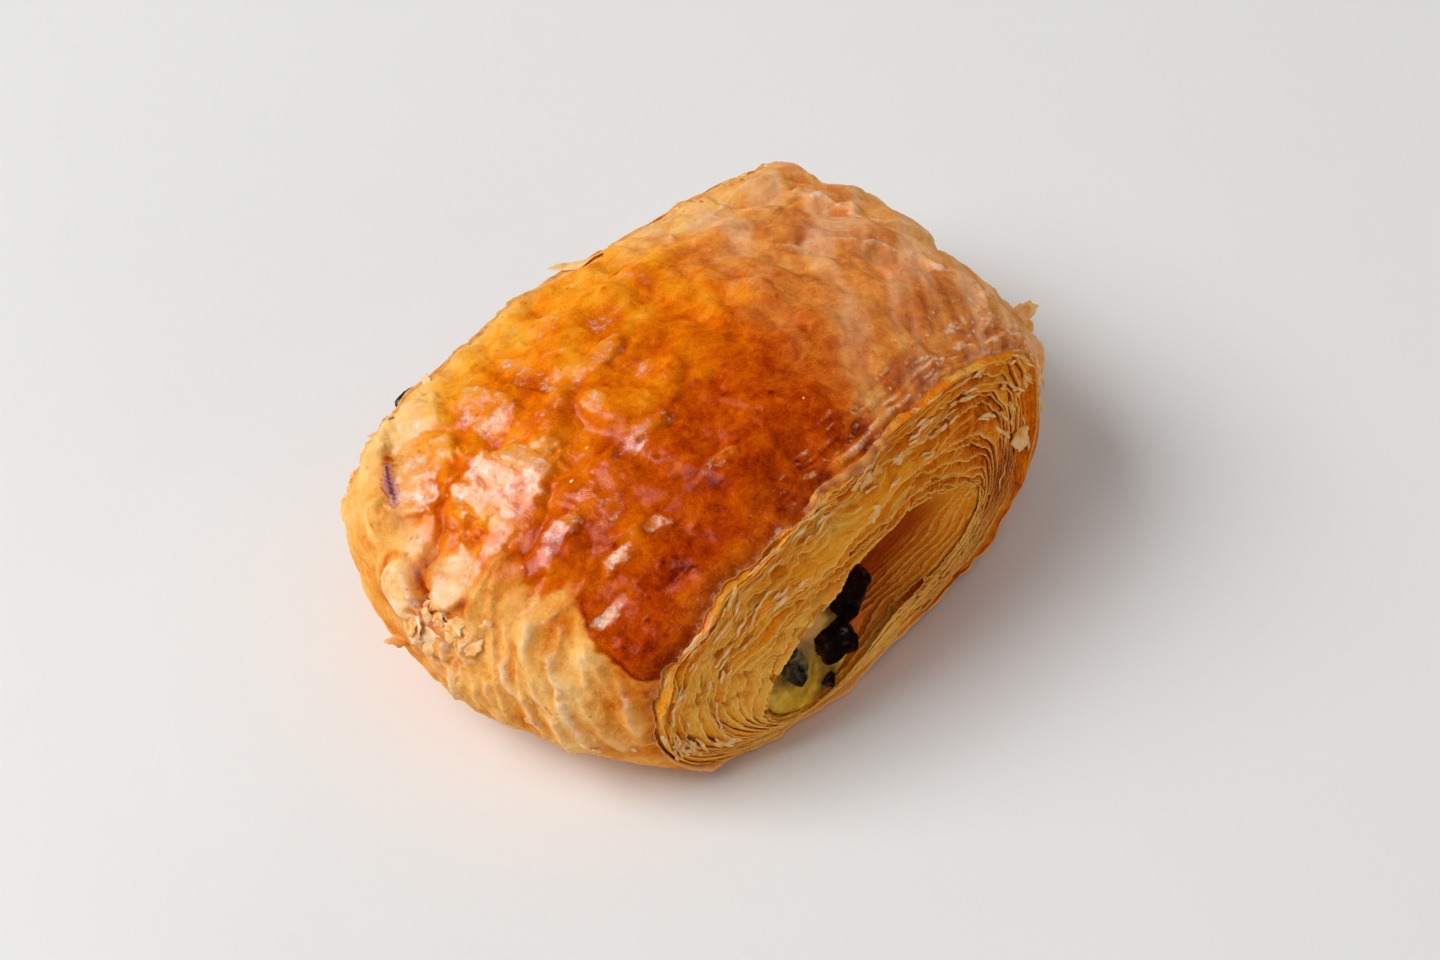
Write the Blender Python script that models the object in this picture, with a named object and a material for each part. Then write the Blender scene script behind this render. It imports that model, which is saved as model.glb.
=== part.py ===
"""A pain suisse: laminated dough folded round custard and dark chocolate pieces, both long sides cut open.

The cut sides face -Y (front) and +Y (back). The smooth folds are the two ends, at -X and +X.
The pastry stands on z = 0. Sizes are in millimetres and become metres when a mesh is made.
Around the roll, an angle of 0 points along +X and 90 degrees points up. Along the roll, a place
of -1 is the front rim of the skin and +1 is its back rim.
"""
import math

import bmesh
import bpy
import numpy as np
from mathutils import Matrix, Vector

MM = 0.001
GAP = 0.3
# The middle of the finished box in plan, as the sizes below place it.
MIDDLE = (2.07, 0.0, 0.0)

# Half lengths along X at the front rim, the middle and the back rim.
LEFT_REACH = (46.0, 59.0, 46.5)
RIGHT_REACH = (53.0, 63.5, 60.0)
# Heights at the front rim, the middle and the back rim, over the left end, the middle and the right end.
LEFT_HEIGHT = (40.0, 43.5, 42.0)
MIDDLE_HEIGHT = (47.0, 49.5, 37.0)
RIGHT_HEIGHT = (47.0, 47.5, 35.5)
# Height at which the two folded ends reach furthest.
LEFT_BELLY = 18.0
RIGHT_BELLY = 24.0
TOP_ROUNDNESS = 2.2
FOOT_ROUNDNESS = 2.6
FOOT_SINK = 3.0
FOOT_EASE = 1.1
FOOT_TRIM = 0.33
# Half the width of the roll, how far each cut side leans in at the top, and how far its middle bows out.
HALF_WIDTH = 37.3
FRONT_LEAN = 5.5
BACK_LEAN = 6.6
LEAN_HEIGHT = 46.5
FACE_BOW = 5.7
HEART = 20.0
HEART_STRETCH = 1.6

# Swellings and dents of the skin: angle in degrees, place along the roll, the two spreads, rise.
SWELLINGS = (
    (27, 0.88, 16, 0.34, 4.0),
    (62, 1.00, 17, 0.30, -3.0),
    (14, 0.20, 15, 0.45, 2.2),
    (8, -0.78, 15, 0.26, 2.4),
    (-22, -0.80, 16, 0.24, 4.5),
    (150, 0.90, 20, 0.40, 2.2),
    (110, 0.90, 18, 0.40, -2.8),
)
# Pleats across the back right shoulder: the hollow's two ends in plan (x, y), its half width and depth.
PLEATS = (
    ((30.0, 9.0), (47.0, -12.0), 2.6, 2.2),
    ((44.0, 27.0), (59.0, -4.0), 2.8, 2.4),
)
BLISTERS = ((15.0, 0.55), (8.5, 0.35))

# Flakes and crags that stand on the skin: angle, place, heading (0 is along the roll towards the back,
# 90 is up the left end or down the right one), length, width, thickness and lift off the skin.
FLAKES = (
    (167, 0.38, 60, 8.6, 8.0, 2.2, 4),
    (184, 0.27, -100, 6.0, 3.4, 1.2, 40),
    (79, 0.95, 42, 9.5, 3.0, 1.0, 8),
    (13, -0.76, -90, 8.6, 4.4, 1.1, 22),
    (6, -0.88, 60, 6.5, 5.0, 3.2, 10),
    (-14, -0.93, 150, 6.0, 4.4, 1.0, 20),
    (176, -0.02, -80, 8.0, 5.5, 1.2, 16),
    (171, -0.20, -60, 7.0, 5.0, 1.1, 18),
    (163, 0.14, -110, 7.5, 5.0, 1.1, 16),
    (158, -0.06, -75, 6.5, 4.5, 1.1, 18),
    (182, -0.34, -70, 6.0, 4.0, 1.1, 16),
    (66, -0.95, 170, 7.0, 5.0, 0.9, 14),
    (48, -0.93, 185, 7.5, 4.6, 0.9, 16),
)
FLAKE_RAGGEDNESS = 0.18

ROUND_STEPS = 88
SKIN_STEPS = 20
# Where each layer of a cut side ends, as a share of the way from the skin's rim to the lip of the mouth,
# and how far the next layer starts behind that edge.
LAYER_ENDS = (0.11, 0.27, 0.38, 0.54, 0.67, 0.84, 1.0)
LAYER_RECESS = (0.9, 1.3, 0.8, 1.2, 0.9, 1.4, 1.0)
LAYER_START = 0.022
LAYER_WAVE = 0.02
LIP_PROUD = 2.6

# The mouth of the filling in each cut side: left end, right end, half height, height of its middle,
# how much lower its left part hangs for each millimetre left of the bend, and the sag of its left floor.
FRONT_MOUTH = {"left": -26.8, "right": 27.2, "half": 9.6, "middle": 22.4, "droop": 0.34, "bend": 1.0, "sag": 0.28,
               "round": 2.3}
BACK_MOUTH = {"left": -22.0, "right": 24.0, "half": 7.0, "middle": 18.0, "droop": 0.10, "bend": 0.0, "sag": 0.0,
              "round": 2.3}
# The tunnel behind the mouths. At the front it starts behind an empty pocket on the right.
FRONT_TUNNEL = {"left": -25.8, "right": -1.0, "half": 7.4, "middle": 21.3, "droop": 0.34, "bend": 1.0, "sag": 0.28,
                "round": 2.0}
BACK_TUNNEL = {"left": -21.0, "right": 22.0, "half": 6.4, "middle": 18.0, "droop": 0.10, "bend": 0.0, "sag": 0.0,
               "round": 2.1}
MOUTH_SOFTNESS = 3.0
POCKET_DEPTH = 12.0
POCKET_STEPS = 4
TUNNEL_STEPS = 6
CUSTARD_ROUND_STEPS = 40
CUSTARD_CAP_RINGS = 3
CUSTARD_RECESS = 1.9
CUSTARD_SLOPE = 0.16

# Chocolate pieces: centre, the three half sizes, turn about Z and tilt about X in degrees.
CHIPS = {
    "chip_front_upper": ((-5.5, -40.6, 22.2), (4.3, 3.4, 3.8), 20, 15),
    "chip_front_middle": ((-10.5, -41.9, 15.2), (3.7, 3.2, 3.6), -25, 10),
    "chip_front_left": ((-19.4, -41.2, 15.4), (2.2, 2.6, 3.2), 10, -20),
    "chip_front_low": ((-12.8, -43.7, 8.7), (1.6, 1.3, 1.2), 35, 0),
    "chip_back_left": ((-9.0, 41.0, 18.0), (3.6, 3.2, 3.3), 15, 10),
    "chip_back_right": ((8.5, 41.2, 16.6), (3.4, 3.3, 3.1), -20, -12),
    "chip_back_rim": ((-29.6, 36.5, 32.6), (2.0, 1.3, 0.9), 12, -20),
}
CHIP_ROUGHNESS = 0.11
CHIP_CLEARANCE = 0.42

DOUGH_COLOUR = (0.60, 0.27, 0.07, 1.0)
CUSTARD_COLOUR = (0.62, 0.47, 0.10, 1.0)
CHOCOLATE_COLOUR = (0.030, 0.014, 0.010, 1.0)


def signed_power(value, exponent):
    return np.sign(value) * np.abs(value) ** exponent


def through(values, place):
    """The parabola through three values given at places -1, 0 and 1."""
    first, middle, last = values
    return middle + (last - first) / 2 * place + ((first + last) / 2 - middle) * place * place


def ripple(points, wavelength, seed):
    """A soft random wave of about unit height: a sum of sines in seeded directions."""
    rng = np.random.default_rng(seed)
    total = 0.0
    waves = 7
    for _ in range(waves):
        direction = rng.normal(size=3)
        direction /= np.linalg.norm(direction)
        length = wavelength * rng.uniform(0.75, 1.4)
        phase = rng.uniform(0, 2 * math.pi)
        total = total + np.sin(points @ direction * (2 * math.pi / length) + phase)
    return total * math.sqrt(2 / waves)


def side_depth(height, place, across):
    """How far a cut side stands from the middle plane, at a height and a share of the reach."""
    rise = np.clip(height / LEAN_HEIGHT, 0, 1.3) ** 1.5
    bow = FACE_BOW * (1 - np.clip(across, -1, 1) ** 2)
    lean = np.where(place < 0, FRONT_LEAN, BACK_LEAN)
    return HALF_WIDTH - lean * rise + bow


def outward(x, z):
    """Unit direction away from the heart of the roll, in the plane of a section."""
    side = x
    up = (z - HEART) * HEART_STRETCH
    size = np.hypot(side, up) + 1e-6
    return side / size, up / size


def pleat_drop(x, y):
    """Depth of the pleats at plan positions: a bell across each hollow, fading at its ends."""
    drop = 0.0
    for start, end, half_width, depth in PLEATS:
        run = np.array(end) - np.array(start)
        length = np.linalg.norm(run)
        run = run / length
        along = (x - start[0]) * run[0] + (y - start[1]) * run[1]
        across = (x - start[0]) * run[1] - (y - start[1]) * run[0]
        beyond = np.maximum(np.maximum(-along, along - length), 0)
        drop = drop + depth * np.exp(-(across / half_width) ** 2 - (beyond / 4.0) ** 2)
    return drop


def skin_point(angle, place):
    """Points of the outer skin, with its swellings, pleats and blisters."""
    cosine, sine = np.cos(angle), np.sin(angle)
    reach = np.where(cosine < 0, through(LEFT_REACH, place), through(RIGHT_REACH, place))
    across = signed_power(cosine, np.where(sine > 0, 2 / TOP_ROUNDNESS, 2 / FOOT_ROUNDNESS))
    x = reach * across
    left, middle, right = (through(row, place) for row in (LEFT_HEIGHT, MIDDLE_HEIGHT, RIGHT_HEIGHT))
    top = middle + (right - left) / 2 * across + ((left + right) / 2 - middle) * across ** 2
    belly = LEFT_BELLY + (RIGHT_BELLY - LEFT_BELLY) * (across + 1) / 2
    above = belly + (top - belly) * np.abs(sine) ** (2 / TOP_ROUNDNESS)
    below = belly - (belly + FOOT_SINK) * np.abs(sine) ** (2 / FOOT_ROUNDNESS)
    z = np.where(sine > 0, above, below)
    degrees = np.degrees(angle)
    rise = 0 * x
    for turn, where, spread, along, amount in SWELLINGS:
        apart = (degrees - turn + 180) % 360 - 180
        rise = rise + amount * np.exp(-(apart / spread) ** 2 - ((place - where) / along) ** 2)
    y = place * side_depth(z, place, across)
    upper = np.clip((z - 14) / 16, 0, 1)
    rise = rise - pleat_drop(x, y) * upper
    for seed, (wavelength, height) in enumerate(BLISTERS):
        points = np.stack([x, y, z], -1)
        rise = rise + height * upper * ripple(points, wavelength, seed)
    side, up = outward(x, z)
    x = x + rise * side
    z = z + rise * up
    z = np.maximum(FOOT_EASE * np.logaddexp(0, z / FOOT_EASE) - FOOT_TRIM, 0)
    return np.stack([x, place * side_depth(z, place, across), z], -1)


def blend_mouths(first, second, share):
    return {key: first[key] * (1 - share) + second[key] * share for key in first}


def mouth_loop(angle, mouth, inset=0.0):
    """The x and z of a loop round the filling: a rounded slot whose left part hangs down."""
    centre = (mouth["left"] + mouth["right"]) / 2
    half_length = (mouth["right"] - mouth["left"]) / 2 - inset
    x = centre + half_length * signed_power(np.cos(angle), 2 / mouth["round"])
    hang = mouth["droop"] * MOUTH_SOFTNESS * np.logaddexp(0, (mouth["bend"] - x) / MOUTH_SOFTNESS)
    rise = (mouth["half"] - inset) * signed_power(np.sin(angle), 2 / mouth["round"])
    left_share = 1 / (1 + np.exp((x + MOUTH_SOFTNESS) / MOUTH_SOFTNESS))
    rise = np.where(rise < 0, rise * (1 + mouth["sag"] * left_share), rise)
    return x, mouth["middle"] - hang + rise


def cut_face(angle, share, place, mouth):
    """Points of a cut side, from the rim of the skin (share 0) to the lip of the mouth (share 1)."""
    rim = skin_point(angle, place + 0 * angle)
    share = share + 0 * angle
    lip_x, lip_z = mouth_loop(angle, mouth)
    x = rim[..., 0] * (1 - share) + lip_x * share
    z = rim[..., 2] * (1 - share) + lip_z * share
    reach = np.where(x < 0, through(LEFT_REACH, place), through(RIGHT_REACH, place))
    depth = side_depth(z, place, x / reach) + LIP_PROUD * (1 - (1 - share) ** 2)
    depth = depth * share + np.abs(rim[..., 1]) * (1 - share)
    return np.stack([x, place * depth, z], -1)


def layer_rows(angle, place, mouth, seed):
    """The layers of a cut side as rows of points: each layer ends in a proud, wavy edge."""
    rows = []
    start = LAYER_START + 0 * angle
    for layer, (end, recess) in enumerate(zip(LAYER_ENDS, LAYER_RECESS)):
        phases = np.random.default_rng(seed + layer).uniform(0, 2 * math.pi, 3)
        wave = sum(np.sin(angle * turns + phase) for turns, phase in zip((5, 9, 14), phases)) / 3
        inner = cut_face(angle, start, place, mouth)
        inner[..., 1] -= place * recess * (1 + 0.5 * wave)
        end = end + (LAYER_WAVE * wave if layer < len(LAYER_ENDS) - 1 else 0 * angle)
        rows.extend((inner, cut_face(angle, end, place, mouth)))
        start = end + LAYER_START
    return rows


def tunnel_rows(angle):
    """The wall of the hollow for the filling, from the front mouth to the back mouth."""
    rows = []
    front = cut_face(angle, 1.0, -1.0, FRONT_MOUTH)
    back = cut_face(angle, 1.0, 1.0, BACK_MOUTH)
    for step in range(1, POCKET_STEPS + 1):
        share = step / POCKET_STEPS
        x, z = mouth_loop(angle, blend_mouths(FRONT_MOUTH, FRONT_TUNNEL, share ** 0.8))
        rows.append(np.stack([x, front[..., 1] + share * POCKET_DEPTH, z], -1))
    for step in range(1, TUNNEL_STEPS):
        share = step / TUNNEL_STEPS
        x, z = mouth_loop(angle, blend_mouths(FRONT_TUNNEL, BACK_TUNNEL, share))
        start = front[..., 1] + POCKET_DEPTH
        rows.append(np.stack([x, start * (1 - share) + (back[..., 1] - 3.0) * share, z], -1))
    x, z = mouth_loop(angle, BACK_TUNNEL)
    rows.append(np.stack([x, back[..., 1] - 3.0, z], -1))
    return rows


def mesh_object(name, vertices, faces, collection, material=None):
    """A mesh object from points in millimetres, with its faces turned outward."""
    mesh = bpy.data.meshes.new(name)
    mesh.from_pydata([tuple(point * MM) for point in vertices], [], faces)
    shape = bmesh.new()
    shape.from_mesh(mesh)
    bmesh.ops.triangulate(shape, faces=shape.faces)
    bmesh.ops.recalc_face_normals(shape, faces=shape.faces)
    if shape.calc_volume(signed=True) < 0:
        bmesh.ops.reverse_faces(shape, faces=shape.faces)
    shape.to_mesh(mesh)
    shape.free()
    thing = bpy.data.objects.new(name, mesh)
    if material:
        mesh.materials.append(material)
    collection.objects.link(thing)
    return thing


def ring_faces(ring_count, ring_size, closed):
    """Quads between neighbouring rings of points, and back to the first ring when closed."""
    faces = []
    last = ring_count if closed else ring_count - 1
    for ring in range(last):
        here, there = ring * ring_size, (ring + 1) % ring_count * ring_size
        for step in range(ring_size):
            ahead = (step + 1) % ring_size
            faces.append((here + step, here + ahead, there + ahead, there + step))
    return faces


def make_dough(collection, material):
    """One ring-shaped body: skin, back layers, hollow and front layers, joined row by row."""
    angle = np.linspace(0, 2 * math.pi, ROUND_STEPS, endpoint=False)
    ease = np.linspace(-1, 1, SKIN_STEPS)
    places = np.sin(ease * math.pi / 2 * 0.82) / math.sin(math.pi / 2 * 0.82)
    rows = [skin_point(angle, place + 0 * angle) for place in places]
    rows += layer_rows(angle, 1.0, BACK_MOUTH, 40)
    rows += tunnel_rows(angle)[::-1]
    rows += layer_rows(angle, -1.0, FRONT_MOUTH, 70)[::-1]
    return mesh_object("dough", np.concatenate(rows), ring_faces(len(rows), ROUND_STEPS, True), collection, material)


def flake_matrix(angle, place, heading, length, lift):
    """The frame of a flake: its long axis leaves the skin at the lift angle, its root is in the skin."""
    step = 0.01
    here = skin_point(np.array(angle), np.array(place))
    along = Vector(skin_point(np.array(angle), np.array(place + step)) - here).normalized()
    around = Vector(skin_point(np.array(angle + step), np.array(place)) - here).normalized()
    normal = along.cross(around).normalized()
    if normal.dot(Vector(here) - Vector((0, here[1], HEART))) < 0:
        normal.negate()
    side = normal.cross(along).normalized()
    flat = along * math.cos(heading) + side * math.sin(heading)
    long_axis = flat * math.cos(lift) + normal * math.sin(lift)
    wide_axis = normal.cross(flat).normalized()
    thin_axis = long_axis.cross(wide_axis)
    turned = Matrix((long_axis, wide_axis, thin_axis)).transposed().to_4x4()
    root = 0.32
    centre = Vector(here) + long_axis * length * (0.5 - root) if lift > 0.1 else Vector(here)
    turned.translation = centre * MM
    return turned


def join_flakes(dough, collection):
    """Fuses the flakes to the skin with one union, and removes the loose copies."""
    for seed, (angle, place, heading, length, width, thickness, lift) in enumerate(FLAKES):
        shape = bmesh.new()
        bmesh.ops.create_icosphere(shape, subdivisions=2, radius=0.5)
        points = np.array([vertex.co[:] for vertex in shape.verts])
        points *= 1 + FLAKE_RAGGEDNESS * ripple(points * 20, 9.0, 200 + seed)[:, None]
        for vertex, point in zip(shape.verts, points * (length, width, thickness)):
            vertex.co = point * MM
        mesh = bpy.data.meshes.new("flake")
        shape.to_mesh(mesh)
        shape.free()
        flake = bpy.data.objects.new("flake", mesh)
        flake.matrix_world = flake_matrix(math.radians(angle), place, math.radians(heading), length,
                                          math.radians(lift))
        flake.hide_render = True
        collection.objects.link(flake)
    union = dough.modifiers.new("flakes", "BOOLEAN")
    union.operation = "UNION"
    union.operand_type = "COLLECTION"
    union.collection = collection
    union.solver = "EXACT"
    bpy.context.view_layer.update()
    fused = bpy.data.meshes.new_from_object(dough.evaluated_get(bpy.context.evaluated_depsgraph_get()))
    dough.modifiers.remove(union)
    dough.data = fused
    for flake in list(collection.objects):
        bpy.data.objects.remove(flake)


def custard_end(angle, place, mouth, inset, shrink):
    """A ring of the custard's end, drawn in towards the middle by a share, behind the lip."""
    x, z = mouth_loop(angle, mouth, inset)
    middle_x, middle_z = x.mean(), z.mean()
    x = middle_x + (x - middle_x) * shrink
    z = middle_z + (z - middle_z) * shrink
    reach = np.where(x < 0, through(LEFT_REACH, place), through(RIGHT_REACH, place))
    depth = side_depth(z, place, x / reach) + LIP_PROUD - CUSTARD_RECESS - CUSTARD_SLOPE * (z - middle_z)
    ring = np.stack([x, place * depth, z], -1)
    ring[..., 1] += place * 0.5 * (1 - shrink) * ripple(ring, 7.0, 11)
    return ring


def make_custard(collection, material):
    """The custard: a slab that fills the hollow from one cut side to the other."""
    angle = np.linspace(0, 2 * math.pi, CUSTARD_ROUND_STEPS, endpoint=False)
    lip = cut_face(angle, 1.0, -1.0, FRONT_MOUTH)
    back_lip = cut_face(angle, 1.0, 1.0, BACK_MOUTH)
    caps = [1 - ring / CUSTARD_CAP_RINGS for ring in range(CUSTARD_CAP_RINGS)]
    rows = [custard_end(angle, -1.0, FRONT_TUNNEL, GAP, shrink) for shrink in caps[::-1]]
    x, z = mouth_loop(angle, FRONT_TUNNEL, GAP)
    rows.append(np.stack([x, lip[..., 1] + POCKET_DEPTH, z], -1))
    for step in range(1, TUNNEL_STEPS):
        share = step / TUNNEL_STEPS
        x, z = mouth_loop(angle, blend_mouths(FRONT_TUNNEL, BACK_TUNNEL, share), GAP)
        start = lip[..., 1] + POCKET_DEPTH
        rows.append(np.stack([x, start * (1 - share) + (back_lip[..., 1] - 3.0) * share, z], -1))
    rows += [custard_end(angle, 1.0, BACK_TUNNEL, GAP, shrink) for shrink in caps]
    points = list(np.concatenate(rows))
    faces = ring_faces(len(rows), CUSTARD_ROUND_STEPS, False)
    for first in (0, (len(rows) - 1) * CUSTARD_ROUND_STEPS):
        ring = range(first, first + CUSTARD_ROUND_STEPS)
        points.append(np.mean([points[index] for index in ring], axis=0))
        tip = len(points) - 1
        faces += [(first + step, first + (step + 1) % CUSTARD_ROUND_STEPS, tip) for step in range(CUSTARD_ROUND_STEPS)]
    return mesh_object("custard", np.array(points), faces, collection, material)


def chip_mesh(name, half_sizes, seed, extra):
    """A broken block of chocolate: a blocky ball with rough corners, swollen by an extra thickness."""
    shape = bmesh.new()
    bmesh.ops.create_icosphere(shape, subdivisions=2, radius=1.0)
    points = np.array([vertex.co[:] for vertex in shape.verts])
    blocky = signed_power(points, 0.72)
    rough = 1 + CHIP_ROUGHNESS * ripple(points * 10, 12.0, seed)[:, None]
    blocky = blocky * rough * np.array(half_sizes)
    for vertex, place in zip(shape.verts, blocky):
        vertex.co = place * MM
    bmesh.ops.recalc_face_normals(shape, faces=shape.faces)
    shape.normal_update()
    moves = [vertex.normal * extra * MM for vertex in shape.verts]
    for vertex, move in zip(shape.verts, moves):
        vertex.co += move
    mesh = bpy.data.meshes.new(name)
    shape.to_mesh(mesh)
    shape.free()
    return mesh


def place_chip(name, mesh, centre, turn, tilt, collection):
    thing = bpy.data.objects.new(name, mesh)
    thing.location = Vector(centre) * MM
    thing.rotation_euler = (math.radians(tilt), 0, math.radians(turn))
    collection.objects.link(thing)
    return thing


def make_chips(collection, cutters, material):
    """The chocolate pieces, and a slightly larger cutter for the seat of each one."""
    for seed, (name, (centre, half_sizes, turn, tilt)) in enumerate(CHIPS.items()):
        mesh = chip_mesh(name, half_sizes, seed, 0.0)
        mesh.materials.append(material)
        place_chip(name, mesh, centre, turn, tilt, collection)
        seat = place_chip("seat_" + name, chip_mesh("seat_" + name, half_sizes, seed, CHIP_CLEARANCE),
                          centre, turn, tilt, cutters)
        seat.hide_render = True
        seat.display_type = "WIRE"


def cut_seats(target, cutters):
    """Hollows out a seat with a small gap wherever a chocolate piece lies in the target."""
    cut = target.modifiers.new("seats", "BOOLEAN")
    cut.operation = "DIFFERENCE"
    cut.operand_type = "COLLECTION"
    cut.collection = cutters
    cut.solver = "EXACT"


def stand_over_origin(*collections):
    """Hangs every object on one empty that moves the middle of the box over the origin."""
    holder = bpy.data.objects.new("holder", None)
    holder.location = -Vector(MIDDLE) * MM
    bpy.context.scene.collection.objects.link(holder)
    for collection in collections:
        for thing in collection.objects:
            thing.parent = holder


def finish(name, colour, roughness):
    material = bpy.data.materials.new(name)
    material.use_nodes = True
    shader = material.node_tree.nodes["Principled BSDF"]
    shader.inputs["Base Color"].default_value = colour
    shader.inputs["Roughness"].default_value = roughness
    shader.inputs["Metallic"].default_value = 0.0
    return material


def main():
    for thing in list(bpy.data.objects):
        bpy.data.objects.remove(thing)
    pastry = bpy.data.collections.new("pain suisse")
    cutters = bpy.data.collections.new("cutters")
    flakes = bpy.data.collections.new("flakes")
    for collection in (pastry, cutters, flakes):
        bpy.context.scene.collection.children.link(collection)
    dough = make_dough(pastry, finish("dough", DOUGH_COLOUR, 0.45))
    join_flakes(dough, flakes)
    custard = make_custard(pastry, finish("custard", CUSTARD_COLOUR, 0.4))
    make_chips(pastry, cutters, finish("chocolate", CHOCOLATE_COLOUR, 0.35))
    for target in (dough, custard):
        cut_seats(target, cutters)
    stand_over_origin(pastry, cutters)


main()
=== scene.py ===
# %% [markdown]
# # A pain suisse in cells
# This lesson dresses a laminated pastry: thin dough folded round custard and dark chocolate, with both
# long sides cut open. The solids come first, because every surface below is laid exactly over them.
# All sizes are in millimetres until a mesh is made, and the two cut sides face -Y (front) and +Y (back).

# %% Load the solids and keep their box
import math

import bpy
import numpy as np
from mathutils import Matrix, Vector


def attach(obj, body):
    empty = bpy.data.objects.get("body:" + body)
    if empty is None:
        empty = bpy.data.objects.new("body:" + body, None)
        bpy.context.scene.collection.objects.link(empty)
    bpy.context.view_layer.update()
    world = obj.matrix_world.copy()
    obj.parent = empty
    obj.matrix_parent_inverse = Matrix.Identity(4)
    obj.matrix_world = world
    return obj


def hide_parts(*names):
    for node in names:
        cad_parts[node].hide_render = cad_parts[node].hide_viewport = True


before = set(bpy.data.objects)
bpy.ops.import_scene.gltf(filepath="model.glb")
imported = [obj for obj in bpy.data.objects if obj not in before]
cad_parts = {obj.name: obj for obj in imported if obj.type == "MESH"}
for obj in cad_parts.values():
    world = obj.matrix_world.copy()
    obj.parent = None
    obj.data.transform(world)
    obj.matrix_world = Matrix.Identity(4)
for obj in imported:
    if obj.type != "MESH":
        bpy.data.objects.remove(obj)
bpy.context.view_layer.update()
MM = 0.001
# The formulas below count x from their own zero, this far to the left of the frame's origin.
MIDDLE = np.array([2.07, 0.0, 0.0])
print("solids:", sorted(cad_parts))

# %% [markdown]
# ## The camera, the floor and the light
# The pastry was seen from its front left corner, from well above, through a long lens. A long lens keeps
# the far end as large as the near one. A window stands high on the left, a little behind the pastry: its
# mirror image is what breaks into pale patches on the glaze. A broad sheet next to it gives the light and
# the shadow, weaker cards brighten the cut sides, and a dim even sky fills the shade.

# %% Camera
VIEW_TURN = math.radians(-47.7)
VIEW_RISE = math.radians(46.0)
VIEW_DISTANCE = 579.0
VIEW_TARGET = np.array([1.7, -6.4, 18.6]) - MIDDLE
FOCAL_LENGTH = 85.0


def direction(turn, rise):
    """Unit vector towards a place at a compass turn from -Y and a rise over the floor, in radians."""
    return Vector((math.sin(turn) * math.cos(rise), -math.cos(turn) * math.cos(rise), math.sin(rise)))


def looking_back(away):
    """The rotation of a camera or light that stands where away points to and faces the other way."""
    return (-away).to_track_quat("-Z", "Y").to_euler()


def add_object(name, data):
    """A new object of the scene with this data."""
    thing = bpy.data.objects.new(name, data)
    bpy.context.scene.collection.objects.link(thing)
    return thing


lens = bpy.data.cameras.new("camera")
lens.lens = FOCAL_LENGTH
lens.clip_start = 0.01
camera = add_object("camera", lens)
towards_camera = direction(VIEW_TURN, VIEW_RISE)
camera.location = (Vector(VIEW_TARGET) + towards_camera * VIEW_DISTANCE) * MM
camera.rotation_euler = looking_back(towards_camera)
bpy.context.scene.camera = camera
print("camera at", [round(part, 3) for part in camera.location])

# %% Shader helpers
# Most helpers add one node and return what it gives, so that a material below reads as a recipe.


def fill(tree, node, values):
    """Give each named input of a node its number or colour, or link it to a socket."""
    for name, value in values.items():
        if isinstance(value, bpy.types.NodeSocket):
            tree.links.new(value, node.inputs[name])
        else:
            node.inputs[name].default_value = value


def add_node(tree, kind, values):
    """A new node with these inputs."""
    node = tree.nodes.new(kind)
    fill(tree, node, values)
    return node


def new_material(name, roughness, specular):
    """A material with one Principled shader; returns the material, its node tree and the shader."""
    material = bpy.data.materials.new(name)
    material.use_nodes = True
    tree = material.node_tree
    shader = tree.nodes["Principled BSDF"]
    fill(tree, shader, {"Roughness": roughness, "Specular IOR Level": specular})
    return material, tree, shader


def attribute(tree, name):
    """The value that each point of the mesh carries under this name."""
    node = tree.nodes.new("ShaderNodeAttribute")
    node.attribute_name = name
    return node.outputs["Fac"]


def noise_at(tree, vector, scale, detail, distortion):
    """Noise from 0 to 1 at the places that a vector gives."""
    values = {"Vector": vector, "Scale": scale, "Detail": detail, "Distortion": distortion}
    return add_node(tree, "ShaderNodeTexNoise", values).outputs["Fac"]


def speckle(tree, scale, detail=3.0, stretch=(1, 1, 1), distortion=0.0):
    """Soft noise in object space; scale is in spots per metre, stretch squeezes it along an axis."""
    place = tree.nodes.new("ShaderNodeTexCoord").outputs["Object"]
    mapping = add_node(tree, "ShaderNodeMapping", {"Vector": place, "Scale": stretch})
    return noise_at(tree, mapping.outputs["Vector"], scale, detail, distortion)


def math_node(tree, operation, first, second, clamp=False):
    """One arithmetic step on two sockets or numbers."""
    node = tree.nodes.new("ShaderNodeMath")
    node.operation = operation
    node.use_clamp = clamp
    for socket, value in zip(node.inputs, (first, second)):
        if isinstance(value, (int, float)):
            socket.default_value = value
        else:
            tree.links.new(value, socket)
    return node.outputs[0]


def multiply_add(tree, socket, factor, amount):
    """The socket's value times a factor, plus an amount."""
    total = math_node(tree, "MULTIPLY_ADD", socket, factor)
    total.node.inputs[2].default_value = amount
    return total


def add_swings(tree, base, *swings):
    """base plus, for each (noise, amount), a swing of the noise round its middle value of a half."""
    for noise, amount in swings:
        base = math_node(tree, "ADD", base, multiply_add(tree, noise, 2 * amount, -amount), clamp=True)
    return base


def ramp(tree, factor, stops):
    """A colour ramp from (position, red, green, blue) stops in linear light."""
    node = tree.nodes.new("ShaderNodeValToRGB")
    elements = node.color_ramp.elements
    while len(elements) < len(stops):
        elements.new(0.5)
    for element, (position, *colour) in zip(elements, stops):
        element.position = position
        element.color = (*colour, 1.0)
    tree.links.new(factor, node.inputs["Fac"])
    return node.outputs["Color"]


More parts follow.
